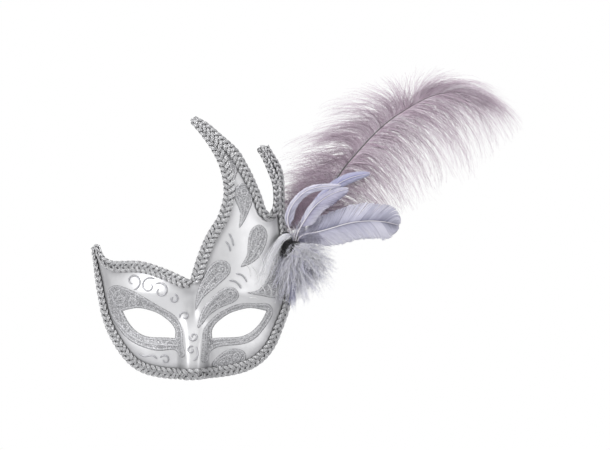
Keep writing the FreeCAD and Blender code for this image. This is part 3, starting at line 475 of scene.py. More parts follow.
def glitter_shape(name, outline, lines, node, holes=()):
    """A glitter shape: a low dome trimmed to its outline. Its height rises from the border, with a
    round thread of gesso at a set distance in and along each of the lines."""
    loops = [flow(outline, 0.8, closed=True), *holes]
    points, quads, edge = trimmed_grid(loops, GLITTER_CELL)
    lined = np.exp(-((edge - LINING_IN) / LINING_SPREAD) ** 2)
    if lines:
        inner = nearest(points, [flow(line, 0.8) for line in lines])[0]
        lined = np.maximum(lined, np.exp(-(inner / LINING_SPREAD) ** 2))
    height = GLITTER_RISE * (1 - np.exp(-edge / 0.6)) - 0.1 + LINING_RISE * lined
    # The border tint is a painted shadow round the shape's edge.
    piece = made(name, on_face(*points.T, height), quads, thread=lined, border=np.exp(-(edge / 0.5) ** 2))
    piece.data.materials.append(glitter_paint)
    body = piece.modifiers.new("body", "SOLIDIFY")
    body.thickness, body.offset = 0.45 * MM, -1.0
    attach(piece, "mask")
    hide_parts(node)


glitter_shape("left_eye_glitter", LEFT_BAND,
              [volute((-68, 27), 7, 120, 1.2, 1, 5.0), volute((-55, 24.5), 4.4, 200, 1.0, -1, 6.0),
               [(-70, 6), (-60, -4), (-46, -11.5), (-30, -13.6), (-14, -14)],
               [(-44, 22), (-32, 16), (-20, 9)]],
              "eye_band_left", [left_eye])
glitter_shape("right_eye_glitter", RIGHT_BAND,
              [[(18, -12.6), (30, -10.8), (42, -9.6), (52, -5), (60, 2.4)],
               [(12.4, 2), (11.4, -8), (11, -20)]],
              "eye_band_right", [right_eye])
glitter_shape("over_eye_glitter", DROP_OVER_EYE,
              [volute((32.6, 32), 4.0, 250, 1.2, 1), [(29, 28.6), (21, 24.4), (14, 17), (9, 8)],
               [(25, 33), (16.4, 25.4), (9.6, 14)]], "drop_over_eye")
glitter_shape("brow_glitter", DROP_BROW,
              [volute((25, 54.6), 4.6, 230, 1.2, 1), [(22, 50.6), (15, 42.6), (8.4, 32), (5, 24)],
               [(18.4, 56), (11.4, 47), (6, 35)]], "drop_brow")
glitter_shape("side_glitter", DROP_SIDE,
              [volute((58.6, 86), 4.2, 300, 1.2, 1), [(60.4, 80), (55.6, 70), (49.4, 62)],
               [(53, 84), (50.6, 72)]],
              "drop_side")
glitter_shape("flame_glitter", DROP_FLAME,
              [volute((44.8, 124.6), 4.2, 280, 1.2, 1), [(46.6, 118.6), (45.2, 108), (43, 98)]],
              "drop_flame")
glitter_shape("tip_glitter", DROP_TIP, [[(35.6, 140), (32, 150), (27, 160)]], "drop_tip")
glitter_shape("cheek_glitter", DROP_CHEEK,
              [volute((39.4, -24.4), 4.0, 200, 1.2, -1), [(34, -22.4), (27, -24.4), (21, -29)]],
              "drop_cheek")
glitter_shape("temple_glitter", LEAF_TEMPLE,
              [[(54, 32.8), (64, 34), (72, 41), (75.6, 52), (76, 62)], [(62, 32), (72, 34)]], "leaf_temple")

# ---------------------------------------------------------------- piped gesso scrolls
# Thin lines of gesso squeezed from a cone in scrolls and commas, and rubbed with pewter when dry.

SCROLLS = {
    "scroll_nose": [volute((0.4, -5.6), 4.2, 170, 1.15, 1), volute((-1.6, -17.6), 3.6, 60, 1.0, 1),
                    [(2.6, -14.4), (4.2, -19.6), (3.2, -24.8), (0.4, -26.6)]],
    "scroll_brow": [volute((-40.4, 39.6), 7.4, 70, 0.95, 1, 3.0),
                    volute((-29.8, 35.2), 7.2, 110, 0.95, -1, 3.0),
                    volute((-55.4, 43.6), 7.4, 300, 0.9, 1, 3.0), volute((-18, 28.2), 4.4, 80, 0.95, -1),
                    volute((-8, 12.4), 4.6, 200, 1.0, -1)],
    "scroll_cheek": [volute((-26, -27), 4.6, 160, 0.95, -1),
                     [(-50, -21.4), (-44, -24.2), (-38, -23.2), (-33, -26.6)]],
    "scroll_flame": [[(31.6, 87.2), (34.6, 81.2), (35.8, 75.6)], [(28.8, 79.8), (32, 75.4), (33, 70.6)],
                     [(37.8, 50.6), (43.6, 49), (47.8, 43)], [(31.8, 44.8), (38.6, 42.8), (42.8, 37)]],
    "scroll_temple": [[(52, 57.4), (56.6, 52), (58, 45.4), (55, 41)],
                      [(62, 64), (64.6, 57.4), (63.4, 50.4)],
                      [(50, 28.6), (54.2, 29), (58.2, 26.8)],
                      [(66, 72), (70.4, 63), (71.2, 53), (68.6, 45)],
                      [(57, 70), (61, 62), (60.6, 54), (56, 48)], [(60, 40), (63.4, 35), (63, 30)],
                      [(66, 41), (69.4, 35), (68.6, 28.6)], [(71.6, 44), (74.6, 37), (73.4, 30)],
                      [(72, 76), (76.6, 66), (78, 55), (76, 44)], [(46, 60), (50.6, 54), (51, 48)]],
}
BEAD_RADIUS, BEAD_STEP = 0.85, 0.6


def ring_faces(lines, stations, sides):
    """Triangles that skin a number of tubes, each a row of rings with the same number of points. Each
    quad between two rings is cut in two, and a fan closes each end."""
    number = np.arange(lines * stations * sides).reshape(lines, stations, sides)
    beside = np.roll(number, -1, axis=2)
    a, b, c, d = number[:, :-1], number[:, 1:], beside[:, 1:], beside[:, :-1]
    walls = np.stack([a, b, c, a, c, d], -1).reshape(-1, 3)
    first, last = number[:, 0], number[:, -1]
    wedges = sides - 2
    fans = [np.stack([ring[:, :1].repeat(wedges, 1), ring[:, p:p + wedges], ring[:, q:q + wedges]], -1)
            for ring, p, q in ((first, 1, 2), (last, 2, 1))]
    return np.concatenate([walls] + [fan.reshape(-1, 3) for fan in fans])


def unit(vectors):
    return vectors / np.maximum(np.linalg.norm(vectors, axis=-1, keepdims=True), 1e-9)


def rings(centres, ups, radii, sides, flatness=1.0):
    """Rings of points square to each line, with their first point to the line's side. The reach
    towards up is flatness times the reach to the side."""
    ahead = unit(np.gradient(centres, axis=1))
    aside = unit(np.cross(ahead, ups))
    over = np.cross(aside, ahead)
    angle = 2 * np.pi * np.arange(sides) / sides
    reach = np.asarray(radii)[..., None, None]
    sideways = np.cos(angle)[:, None] * aside[:, :, None]
    upward = flatness * np.sin(angle)[:, None] * over[:, :, None]
    return (centres[:, :, None] + reach * (sideways + upward)).reshape(-1, 3)


gesso = Finish("pewter_gesso", metallic=0.6)
gesso_paint = gesso.feed(
    base_color=gesso.blend(gesso.noise(420.0), (0.26, 0.26, 0.28), (0.60, 0.60, 0.62)),
    roughness=0.32 + gesso.noise(300.0) * 0.25,
    normal=gesso.bump(gesso.noise(900.0, 4.0), 0.0002, 0.4))

chalk = Finish("pale_gesso", metallic=0.3)
pale_gesso = chalk.feed(base_color=chalk.blend(chalk.noise(420.0), (0.60, 0.60, 0.61), (0.90, 0.90, 0.91)),
                        roughness=0.35 + chalk.noise(300.0) * 0.25)

for name, lines in SCROLLS.items():
    fine = 0.62 if name == "scroll_temple" else 1.0
    skins, faces, total = [], [], 0
    for line in lines:
        along = flow(line, BEAD_STEP)
        centre, up = on_face(*along.T, 0.25)[None], face_normals(*along.T)[None]
        share = np.linspace(-1, 1, len(along))
        skins.append(rings(centre, up, fine * BEAD_RADIUS * np.sqrt(1.03 - share ** 8)[None], 8, 0.9))
        faces.append(ring_faces(1, len(along), 8) + total)
        total += len(skins[-1])
    scroll = made("piped_" + name, np.concatenate(skins), np.concatenate(faces))
    scroll.data.materials.append(gesso_paint if fine == 1.0 else pale_gesso)
    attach(scroll, "mask")
    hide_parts(name)

# ---------------------------------------------------------------- gimp braid
# Flat silver gimp glued round the edge: three strands plaited over a dark tape, each strand three fine
# metallic cords side by side. The tape is partly painted shade: it makes the gaps between the strands
# read dark where shade falls. It stands a little past the shell's edge and narrows into the tips.

BRAID_WIDTH, BRAID_OVERHANG, BRAID_JOINT = 9.0, 1.2, 0.2
HORN_END, RIGHT_END, BOTTOM_END = 0.215, 0.395, 0.735
BRAIDS = {
    "braid_brow": (BROW_EDGE, 0.0, 1.0, (3.6, 0.16, 4.4, 0.5)),
    "braid_flame": (FLAME_EDGE, 0.0, 1.0, (4.4, 0.5, 4.2, 0.075)),
    "braid_notch": (NOTCH_EDGE, 0.0, 1.0, (4.2, 0.075, 4.3, 0.03)),
    "braid_horn": (SWEEP_EDGE, 0.0, HORN_END, (4.3, 0.03, 1e3, 0.0)),
    "braid_right": (SWEEP_EDGE, HORN_END, RIGHT_END, (1e3, 0.0, 1e3, 0.0)),
    "braid_bottom": (SWEEP_EDGE, RIGHT_END, BOTTOM_END, (1e3, 0.0, 1e3, 0.0)),
    "braid_left": (SWEEP_EDGE, BOTTOM_END, 1.0, (1e3, 0.0, 3.0, 0.16)),
}
PLAIT_PITCH, PLAIT_SKEW, STATIONS_PER_PITCH = 15.6, 0.28, 26
CORD_RADIUS, CORD_SPACING, PLAIT_BASE, PLAIT_LIFT, PLAIT_SPARE = 0.56, 1.02, 1.5, 0.85, 0.85
TAPE_LIFT, TAPE_THICKNESS, TAPE_SHORT, TAPE_OUT = 0.08, 0.8, 1.9, 0.3

gimp = Finish("silver_gimp", metallic=0.8)
ply = gimp.node("ShaderNodeUVMap", {"uv_map": "along"})
ply_u = gimp.node("ShaderNodeSeparateXYZ", None, {"Vector": ply}, "X")
ply_v = gimp.node("ShaderNodeSeparateXYZ", None, {"Vector": ply}, "Y")
twist = ((ply_u * 5.2 + ply_v * 2.0) * 6.2832).sine() * 0.5 + 0.5
lit = gimp.tint("height")
glint = gimp.noise(650.0, 2.0)
silver_thread = gimp.blend(((glint - 0.30) * 2.0).clipped(), (0.62, 0.62, 0.635), (0.99, 0.99, 1.0))
# Painted shade: each ply is darker in the valleys of its twist.
shaded_ply = gimp.blend(twist * 0.4 + 0.6, (0.14, 0.14, 0.145), silver_thread)
# Painted light and shade: the height tint lightens the crowns and upper sides of the cords and darkens them
# almost to black where a strand passes under.
gimp_thread = gimp.feed(
    base_color=gimp.blend((lit * 2.9 - 0.98).clipped(), (0.025, 0.025, 0.028), shaded_ply),
    roughness=0.24 + gimp.noise(500.0) * 0.25,
    normal=gimp.bump(twist, 0.00035, 1.0))
# A dark tape under the plait, partly painted shade for the gaps between the strands.
tape = Finish("dark_tape_and_shade", roughness=0.85)
dark_tape_and_shade = tape.feed(
    base_color=tape.blend(tape.noise(600.0), (0.03, 0.03, 0.032), (0.12, 0.12, 0.125)),
    normal=tape.bump(tape.noise(1500.0), 0.0003, 0.8))


def plait(name, edge, start, end, room):
    """A length of plait from share start to share end of an edge.

    Each strand swings across by a sine of the way along and rises and falls by the sine of twice
    that, a third of a turn apart, so each passes over the next and under the one after. Its cords lie
    beside its middle line, square to it."""
    line = flow(edge, 0.5)
    run = np.linspace(0, 1, len(line)) * np.linalg.norm(np.diff(line, axis=0), axis=1).sum()
    first, last = start * run[-1] + BRAID_JOINT / 2, end * run[-1] - BRAID_JOINT / 2
    pitches = max(1, round((last - first) / PLAIT_PITCH * 3) / 3)
    turn = np.linspace(0, 2 * np.pi * pitches, round(pitches * STATIONS_PER_PITCH) + 1)
    inward = unit(np.gradient(line, axis=0))[:, ::-1] * (1, -1)

    def laid(along, across, height):
        """Points at a distance along the edge, across it from its line, and above the face."""
        at = np.stack([np.interp(along, run, line[:, k]) for k in (0, 1)], -1)
        way = unit(np.stack([np.interp(along, run, inward[:, k]) for k in (0, 1)], -1))
        normal = face_normals(at[..., 0], at[..., 1])
        slope = -(normal[..., 0] * way[..., 0] + normal[..., 2] * way[..., 1]) / normal[..., 1]
        at = at + way * (across / np.sqrt(1 + slope ** 2))[..., None]
        return on_face(at[..., 0], at[..., 1], height), normal

    def reach(along):
        """How far in the braid reaches, in full and towards each narrowing end."""
        narrow = np.minimum(room[0] + room[1] * (along - first), room[2] + room[3] * (last - along))
        return np.minimum(BRAID_WIDTH - BRAID_OVERHANG, narrow)

    phase = 2 * np.pi * np.arange(3)[:, None] / 3
    angle = turn + phase
    leaning = PLAIT_PITCH / (2 * np.pi) * PLAIT_SKEW * np.sin(2 * angle)
    along = first + (last - first) * turn / turn[-1] - leaning
    along = np.clip(along, first, last)
    half = (reach(along) + BRAID_OVERHANG) / 2
    share = half / (BRAID_WIDTH / 2)
    swing = half + PLAIT_SPARE * share - (CORD_SPACING + CORD_RADIUS) * share
    across = half - BRAID_OVERHANG + swing * np.sin(angle)
    ahead = unit(np.stack([np.gradient(along, axis=1), np.gradient(across, axis=1)], -1))
    aside = CORD_SPACING * np.array([-1, 0, 1])[:, None, None] * share
    cord_along = np.clip(along - aside * ahead[..., 1], first - 0.4, last + 0.4)
    cord_across = across + aside * ahead[..., 0]
    weave = np.sin(2 * angle)
    crown = 0.3 * np.array([0, 1, 0])[:, None, None]
    height = PLAIT_BASE + PLAIT_LIFT * weave + crown
    centres, normals = laid(cord_along, cord_across, height)
    cords, stations, sides = 9, len(turn), 6
    centres, normals = centres.reshape(cords, stations, 3), normals.reshape(cords, stations, 3)
    radii = np.broadcast_to(CORD_RADIUS * (0.75 + 0.25 * share), (3, 3, stations)).reshape(cords, stations)
    skin = rings(centres, normals, radii, sides)
    spacing = np.linalg.norm(np.diff(centres, axis=1), axis=2).cumsum(1) / 10
    spacing = np.concatenate([np.zeros((cords, 1)), spacing], 1)
    uv = np.stack(np.broadcast_arrays(spacing[..., None], np.arange(sides) / sides), -1).reshape(-1, 2)
    # Painted light and shade for the cords: lighter on their upper sides and where their strand passes over,
    # darker underneath and where it passes under.
    over = np.sin(2 * np.pi * np.arange(sides) / sides) * 0.25
    lit = 0.5 + 0.33 * np.broadcast_to(weave, (3, 3, stations)).reshape(cords, stations, 1) + over
    faces = ring_faces(cords, stations, sides)
    piece = made("plaited_" + name, skin, faces, uv=uv, height=np.clip(lit.ravel(), 0, 1))
    piece.data.materials.append(gimp_thread)
    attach(piece, "mask")
    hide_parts(name)

    # The dark tape under the plait: partly painted shade, so the gaps between the strands read dark.
    row = np.linspace(first, last, max(4, round((last - first) / 2)))
    inner = reach(row)[:, None] - TAPE_SHORT
    corners = np.array([[0, 0], [1, 0], [1, 1], [0, 1]])
    tape_across = -TAPE_OUT + corners[:, 0] * (inner + TAPE_OUT)
    tape_along = np.broadcast_to(row[:, None], tape_across.shape)
    tape_points = laid(tape_along, tape_across, TAPE_LIFT + corners[:, 1] * TAPE_THICKNESS)[0]
    backing = made("tape_of_" + name, tape_points.reshape(-1, 3), ring_faces(1, len(row), 4)[:, ::-1])
    backing.data.materials.append(dark_tape_and_shade)
    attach(backing, "mask")


for name, (edge, start, end, room) in BRAIDS.items():
    plait(name, edge, start, end, room)

# ---------------------------------------------------------------- felt pad, binding and tie eyes
# A black felt pad glued over the braid at the temple carries the feathers, whose quills are bound to
# it with black thread. Inside, satin ribbon eyes are held down by felt patches.

felt = Finish("black_felt", roughness=0.95, sheen_weight=0.4, sheen_roughness=0.5)
felt_cloth = felt.feed(
    base_color=felt.blend(felt.noise(900.0, 5.0), (0.010, 0.010, 0.012), (0.055, 0.055, 0.060)),
    normal=felt.bump(felt.noise(1300.0, 6.0, roughness=0.7), 0.0006, 0.9))

thread_wound = Finish("black_thread", specular_ior_level=0.4)
wound_z = thread_wound.node("ShaderNodeSeparateXYZ", None,
                            {"Vector": thread_wound.node("ShaderNodeTexCoord", output="Object")}, "Z")
# Painted shade: the wound turns are lighter on their crowns and darker in the grooves between them.
wound = (wound_z * 9000.0 + thread_wound.noise(120.0) * 5.0).sine() * 0.5 + 0.5
black_thread = thread_wound.feed(
    base_color=thread_wound.blend(wound, (0.006, 0.006, 0.007), (0.05, 0.05, 0.055)),
    roughness=0.45 + thread_wound.noise(800.0) * 0.3,
    normal=thread_wound.bump(wound, 0.0003, 0.9))

satin = Finish("black_satin", sheen_weight=0.2)
satin_z = satin.node("ShaderNodeSeparateXYZ", None,
                     {"Vector": satin.node("ShaderNodeTexCoord", output="Object")}, "Z")
# Painted light and shade: the fine ribs of the weave are lighter on their crowns and darker between them.
ribs = (satin_z * 14000.0).sine() * 0.5 + 0.5
satin_ribbon = satin.feed(
    base_color=satin.blend(ribs * 0.5 + satin.noise(300.0) * 0.5, (0.02, 0.02, 0.023), (0.07, 0.07, 0.078)),
    roughness=0.25 + satin.noise(400.0) * 0.2, normal=satin.bump(ribs, 0.00008, 0.5))

for cloth, covered in ((felt_cloth, ("feather_pad", "felt_patch_left", "felt_patch_right")),
                       (black_thread, ("quill_binding",)),
                       (satin_ribbon, ("tie_eye_left", "tie_eye_right"))):
    for node in covered:
        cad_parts[node].data.materials.clear()
        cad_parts[node].data.materials.append(cloth)

# ---------------------------------------------------------------- ostrich plume
# One dyed ostrich plume: a thin dark shaft that bends over to the right, and long soft barbs that
# arch off both sides and hang at their ends, each furred with barbules a few millimetres long.

FEATHER_GAP, QUILL_TUCK = 1.0, 3.0
BINDING_LENGTH, BINDING_LEAN, BINDING_OUT = 13.0, np.radians(8.0), 9.45
binding_middle = on_face(84.0, 73.0, BINDING_OUT)
lean = np.array([np.sin(BINDING_LEAN), 0.0, np.cos(BINDING_LEAN)])
ROOT = binding_middle + lean * BINDING_LENGTH / 2 + (0, 0, FEATHER_GAP)
INTO_BINDING = lean * QUILL_TUCK
PLUME_Y = 47.8
PLUME_LINE = [(107, 108), (125.3, 130.2), (133.7, 143.2), (147.4, 160), (162.7, 176.7), (178, 190.4),
              (197.8, 203.4), (213, 211.4), (228.3, 215.6), (239, 216), (249.6, 214.1)]
PLUME_ROOT = ROOT + (1.0, 1.9, 0)
BARB_TAPER, BARBULE_WIDTH, BARBULE_DEPTH, BARBULE_SHRINK, BARBULE_PALER = 0.25, 0.55, 0.9, 0.45, 0.12


def strands(starts, heads, ends, tails, stations):
    """Lines from starts to ends that leave along heads and arrive along tails: cubic arcs, each point
    a weighting of the two ends and of the two handles by the powers of the share done and left."""
    done = np.linspace(0, 1, stations)[:, None]
    left = 1 - done
    a, b, c, d = (each[:, None] for each in (starts, starts + heads, ends - tails, ends))
    return left ** 3 * a + 3 * left ** 2 * done * b + 3 * left * done ** 2 * c + done ** 3 * d


def furred(name, lines, thick, per_line, fur, lean_ahead, shade, rng, body, nodes, paint):
    """A soft piece of many barbs: each line is a thin three-sided tube that tapers, and carries sharp
    four-faced barbules, leaning ahead to all sides, fur millimetres long and shorter at the tips."""
    count, stations = lines.shape[:2]
    ups = unit(np.cross(np.gradient(lines, axis=1), rng.normal(size=(count, 1, 3))))
    taper = np.linspace(1, BARB_TAPER, stations)
    skin = rings(lines, ups, thick * taper * np.ones((count, 1)), 3)
    skin_shade = np.repeat(shade, stations * 3)
    faces = ring_faces(count, stations, 3)
    which = np.repeat(np.arange(count), per_line)
    share = rng.uniform(0.04, 1.0, len(which)) * (stations - 1)
    low = np.minimum(share.astype(int), stations - 2)
    part = (share - low)[:, None]
    foot = lines[which, low] * (1 - part) + lines[which, low + 1] * part
    ahead = unit(lines[which, low + 1] - lines[which, low])
    out = unit(np.cross(ahead, rng.normal(size=foot.shape)))
    shrink = 1 - BARBULE_SHRINK * (share / (stations - 1)) ** 2
    length = fur * rng.uniform(0.55, 1.15, len(which)) * shrink
    tip = foot + (out + ahead * lean_ahead) / np.hypot(1, lean_ahead) * length[:, None]
    across = unit(np.cross(out, ahead)) * thick * BARBULE_WIDTH
    base = [foot + across, foot - across, foot + ahead * thick * BARBULE_DEPTH]
    spikes = np.stack(base + [tip], 1).reshape(-1, 3)
    corner = np.arange(len(which))[:, None] * 4 + len(skin)
    orders = ([0, 2, 1], [0, 1, 3], [1, 2, 3], [2, 0, 3])
    fur_faces = np.concatenate([corner + order for order in orders])
    fur_shade = np.repeat(shade[which], 4) + np.tile([0, 0, 0, BARBULE_PALER], len(which))
    piece = made(name, np.concatenate([skin, spikes]), np.concatenate([faces, fur_faces]),
                 shade=np.concatenate([skin_shade, fur_shade]))
    piece.data.materials.append(paint)
    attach(piece, body)
    if nodes:
        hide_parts(*nodes)


def feather_paint(name, dark, middle, pale, roughness=0.75):
    """Dyed barbs: the shade at each point, partly dye and partly painted shade, runs from dark through
    middle to pale, with a fine mottle.
    """
    dye = Finish(name, sheen_weight=0.25, sheen_roughness=0.4, specular_ior_level=0.25)
    ramp = dye.node("ShaderNodeValToRGB", {"stops": [(0.0, dark), (1.0, pale), (0.5, middle)]},
                    {"Fac": (dye.tint("shade") + (dye.noise(220.0) - 0.5) * 0.22).clipped()})
    return dye.feed(base_color=ramp, roughness=roughness + dye.noise(400.0) * 0.2)


mauve = feather_paint("mauve_ostrich", (0.24, 0.155, 0.22), (0.66, 0.53, 0.63), (0.92, 0.87, 0.92))

shaft = flow([tuple(PLUME_ROOT - INTO_BINDING), tuple(PLUME_ROOT), (95.6, PLUME_ROOT[1] + 4.2, 90.5),
              (100.5, PLUME_Y - 2.2, 99)] + [(x, PLUME_Y, z) for x, z in PLUME_LINE], 2.0)
shaft_share = np.linspace(0, 1, len(shaft))
horn = Finish("dark_shaft", specular_ior_level=0.5)
dark_shaft = horn.feed(base_color=horn.blend(horn.noise(150.0), (0.055, 0.06, 0.055), (0.17, 0.165, 0.16)),
                       roughness=0.4 + horn.noise(300.0) * 0.2)
stem = made("plume_stem", rings(shaft[None], np.broadcast_to((0.0, -1.0, 0.0), shaft[None].shape),
                                (0.85 - 0.62 * shaft_share)[None], 8), ring_faces(1, len(shaft), 8))
stem.data.materials.append(dark_shaft)
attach(stem, "plume")
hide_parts("plume_shaft")

# Where the barbs of each side end, in order of their roots along the shaft: share along the shaft,
# the end's x and z, the way it points there in degrees, and how far out the barb first heads.
UPPER_ENDS = [(0.16, 80, 104, 200, 80), (0.24, 75, 122, 190, 75), (0.32, 76, 140, 188, 68),
              (0.40, 82, 156, 198, 60), (0.48, 95, 170, 206, 56), (0.56, 108, 186, 206, 54),
              (0.63, 128, 207, 196, 54), (0.68, 152, 223, 168, 54), (0.72, 178, 233, 128, 50),
              (0.75, 206, 238, 60, 46), (0.78, 232, 236, 5, 44), (0.82, 254, 229, -24, 40),
              (0.86, 270, 219, -42, 34), (0.90, 281, 207, -52, 26), (0.95, 290, 196, -60, 14),
              (1.0, 297, 186, -62, 4)]
LOWER_ENDS = [(0.12, 146, 100, -36, -62), (0.18, 160, 98, -42, -56), (0.25, 172, 99, -48, -48),
              (0.34, 185, 104, -58, -41), (0.45, 203, 115, -70, -36), (0.55, 222, 126, -78, -34),
              (0.65, 241, 136, -82, -32), (0.75, 259, 150, -82, -28), (0.85, 275, 164, -78, -24),
              (0.93, 287, 176, -72, -16), (1.0, 297, 184, -64, -4)]
LOCKS, LOCK_PULL, LOCK_SHIFT, FRONT_MOST, BACK_MOST, BARB_STATIONS = 64, 0.85, 2.0, -5, 14, 12


def side_barbs(ends, count, crowd, reach, spread, rng):
    """The barbs of one side: roots at random along the shaft, ends on the table's line drawn in by
    reach, gathered into locks, with a spread front to back. A crowd below 1 sets more of the roots
    near the tip, and one above 1 near the foot."""
    table = np.array(ends, float)
    share = table[0, 0] + (1 - table[0, 0]) * np.sort(rng.uniform(0, 1, count)) ** crowd
    lock = np.round(share * LOCKS) / LOCKS
    wander = rng.normal(size=(LOCKS + 1, 2))[np.round(share * LOCKS).astype(int)]
    told = share + (lock - share) * rng.uniform(0.0, LOCK_PULL, count) + rng.normal(size=count) * 0.011
    x, z, way, off = (np.interp(told, table[:, 0], table[:, k]) for k in (1, 2, 3, 4))
    start = np.stack([np.interp(share, shaft_share, shaft[:, k]) for k in range(3)], -1)
    heading = np.unwrap(np.arctan2(*np.gradient(shaft[:, [2, 0]], axis=0).T))
    depth = np.clip(rng.normal(size=count) * spread, FRONT_MOST, BACK_MOST)
    end = np.stack([x, PLUME_Y + depth, z], -1)
    length = rng.uniform(*reach, count)[:, None] + wander[:, :1] * 0.06
    shift = np.stack([wander[:, 1], 0 * x, wander[:, 0]], -1) * LOCK_SHIFT
    end = start + (end - start) * length + shift
    run = np.linalg.norm(end - start, axis=1, keepdims=True)
    first = np.interp(share, shaft_share, heading) + np.radians(off + rng.normal(size=count) * 7)
    last = np.radians(way + rng.normal(size=count) * 12 + wander[:, 0] * 8)
    fan = np.maximum(rng.normal(size=count) * 0.22, -0.2)
    heads = np.stack([np.cos(first), fan, np.sin(first)], -1) * run * rng.uniform(0.32, 0.5, (count, 1))
    tails = np.stack([np.cos(last), -fan * 0.5, np.sin(last)], -1) * run
    tails = tails * rng.uniform(0.25, 0.42, (count, 1))
    shade = 0.44 + 0.2 * share + 0.14 * rng.normal(size=count) + 0.11 * wander[:, 0]
    return strands(start, heads, end, tails, BARB_STATIONS), shade


# On each side a fringe of long barbs, and a heart of short ones that fills it near the shaft. Each row
# holds the ends, how many barbs, how they crowd, their reach, their spread, the barbules on a barb and
# their length, how much painted shade darkens it, and the nodes that it replaces.
SIDES = {
    "plume_upper_fringe": (UPPER_ENDS, 980, 0.82, (0.62, 1.04), 4.5, 30, 1.8, 0.0, ("plume_upper_barbs",)),
    "plume_upper_heart": (UPPER_ENDS, 700, 0.85, (0.22, 0.66), 3.0, 46, 2.4, 0.12, ()),
    "plume_lower_fringe": (LOWER_ENDS, 940, 1.15, (0.62, 1.06), 4.5, 31, 1.8, 0.0, ("plume_lower_barbs",)),
    "plume_lower_heart": (LOWER_ENDS, 760, 1.2, (0.22, 0.66), 3.0, 44, 2.4, 0.08, ()),
}
rng = np.random.default_rng(11)
# The heart is darkened by painted shade, as it lies in among the barbs near the shaft.
for name, (ends, count, crowd, reach, spread, per_line, fur, heart_shade, nodes) in SIDES.items():
    lines, shade = side_barbs(ends, count, crowd, reach, spread, rng)
    furred(name, lines, 0.16, per_line, fur, 0.9, shade - heart_shade, rng, "plume", nodes, mauve)

# The down at the plume's foot: short soft barbs that fan out behind the horn, darker near the pad.
FOOT_COUNT, FOOT_FROM, FOOT_TO, FOOT_FRONT = 520, 0.07, 0.30, 45
foot_share = rng.uniform(FOOT_FROM, FOOT_TO, FOOT_COUNT)
foot_up = (foot_share - FOOT_FROM) / (FOOT_TO - FOOT_FROM)
foot_start = np.stack([np.interp(foot_share, shaft_share, shaft[:, k]) for k in range(3)], -1)
foot_way = np.radians(rng.uniform(112, 205, FOOT_COUNT) - 60 * (foot_share - FOOT_FROM))
foot_run = rng.uniform(16, 30, FOOT_COUNT) * (0.85 + 0.6 * foot_up)
foot_fan = np.clip(rng.normal(size=FOOT_COUNT) * 0.22, -0.08, 0.3)
foot_aim = np.stack([np.cos(foot_way), foot_fan, np.sin(foot_way)], -1)
foot_start[:, 1] = np.maximum(foot_start[:, 1], FOOT_FRONT)
foot_end = foot_start + foot_aim * foot_run[:, None]
droop = np.array([-0.4, 0, -0.7])
foot_lines = strands(foot_start, foot_aim * foot_run[:, None] * 0.4, foot_end,
                     unit(foot_aim + droop) * foot_run[:, None] * 0.3, 10)
foot_shade = 0.24 + 0.3 * foot_up + 0.12 * rng.normal(size=FOOT_COUNT)
furred("plume_foot_down", foot_lines, 0.15, 68, 3.0, 0.7, foot_shade, rng, "plume",
       ("plume_base_down",), mauve)

# ---------------------------------------------------------------- goose feathers
# Dyed goose nagoire: a pale shaft with a flat blade of close barbs on each side, curved by steaming.
# The blades part here and there, where a few barbs have come unhooked.

# Each feather's shaft, the half widths of its blade's two sides at the points of the shaft, how many
# points stay bare, its barbs a side, the full share of the blade, and the painted shade of its right side.
GOOSE = {
    "goose_long": ([tuple(ROOT + (1.7, -0.9, 0)), (98, 30.5, 85), (108, 29, 87.5), (124, 28.4, 91.5),
                    (142, 28.4, 96.5), (160, 29, 98.2), (175, 31, 97), (187, 34, 94)],
                   [(3, 4), (6, 7), (12, 13), (15, 16), (16, 16), (16, 16), (16, 15), (16, 15)],
                   1, 210, 0.84, 0.0),
    "goose_mid": ([tuple(ROOT + (-0.2, -2.3, 0)), (96, 25.6, 92), (101.5, 24, 101), (108, 23, 110),
                   (117, 22.4, 118), (128, 23, 124), (140, 24.6, 127.5)],
                  [(1.4, 2.4), (2.4, 6), (3.4, 9), (4, 9), (4, 9), (4, 8), (4, 8)], 1, 140, 0.6, 0.36),
    "goose_curl": ([tuple(ROOT + (-2.1, -0.9, 0)), (86.4, 24, 91), (84.6, 20, 99), (86.6, 17.6, 108),
                    (93, 16.8, 118), (103, 17, 126), (117, 18, 129.4), (133, 20, 130.4)],
                   [(1.2, 2), (2.2, 5), (2.6, 5.4), (2.6, 4.4), (2.6, 3.8), (2.6, 3.6), (2.6, 3.4),
                    (2.6, 3.4)], 1, 150, 0.55, 0.12),
    "goose_tip": ([tuple(ROOT + (-1.9, 0.9, 0)), (92.2, 33.7, 89), (96.6, 35.6, 98), (104, 38, 107),
                   (116, 39, 120), (129, 40, 131), (143, 40.6, 138), (160, 41, 141.6)],
                  [(1, 1), (2, 2), (2, 2), (3, 3), (4, 4), (5, 5), (5.4, 5.4), (5.4, 5.4)],
                  2, 130, 0.45, 0.0),
}
BARB_SWEEP, BLADE_CAMBER, BLADE_LIFT, BLADE_STATIONS, BARB_FLATNESS = 0.15, 0.10, 0.35, 10, 0.14
lavender = feather_paint("lavender_goose", (0.17, 0.16, 0.25), (0.48, 0.465, 0.60), (0.74, 0.73, 0.83), 0.5)
grey_lavender = feather_paint("grey_goose", (0.18, 0.18, 0.25), (0.43, 0.425, 0.53), (0.64, 0.63, 0.73),
                              0.5)
blue_lilac = feather_paint("blue_goose", (0.13, 0.13, 0.24), (0.31, 0.31, 0.48), (0.52, 0.52, 0.68), 0.5)
ivory = Finish("pale_shaft", specular_ior_level=0.5)
pale_shaft = ivory.feed(base_color=ivory.blend(ivory.noise(150.0), (0.60, 0.57, 0.62), (0.82, 0.80, 0.82)),
                        roughness=0.35 + ivory.noise(300.0) * 0.2)


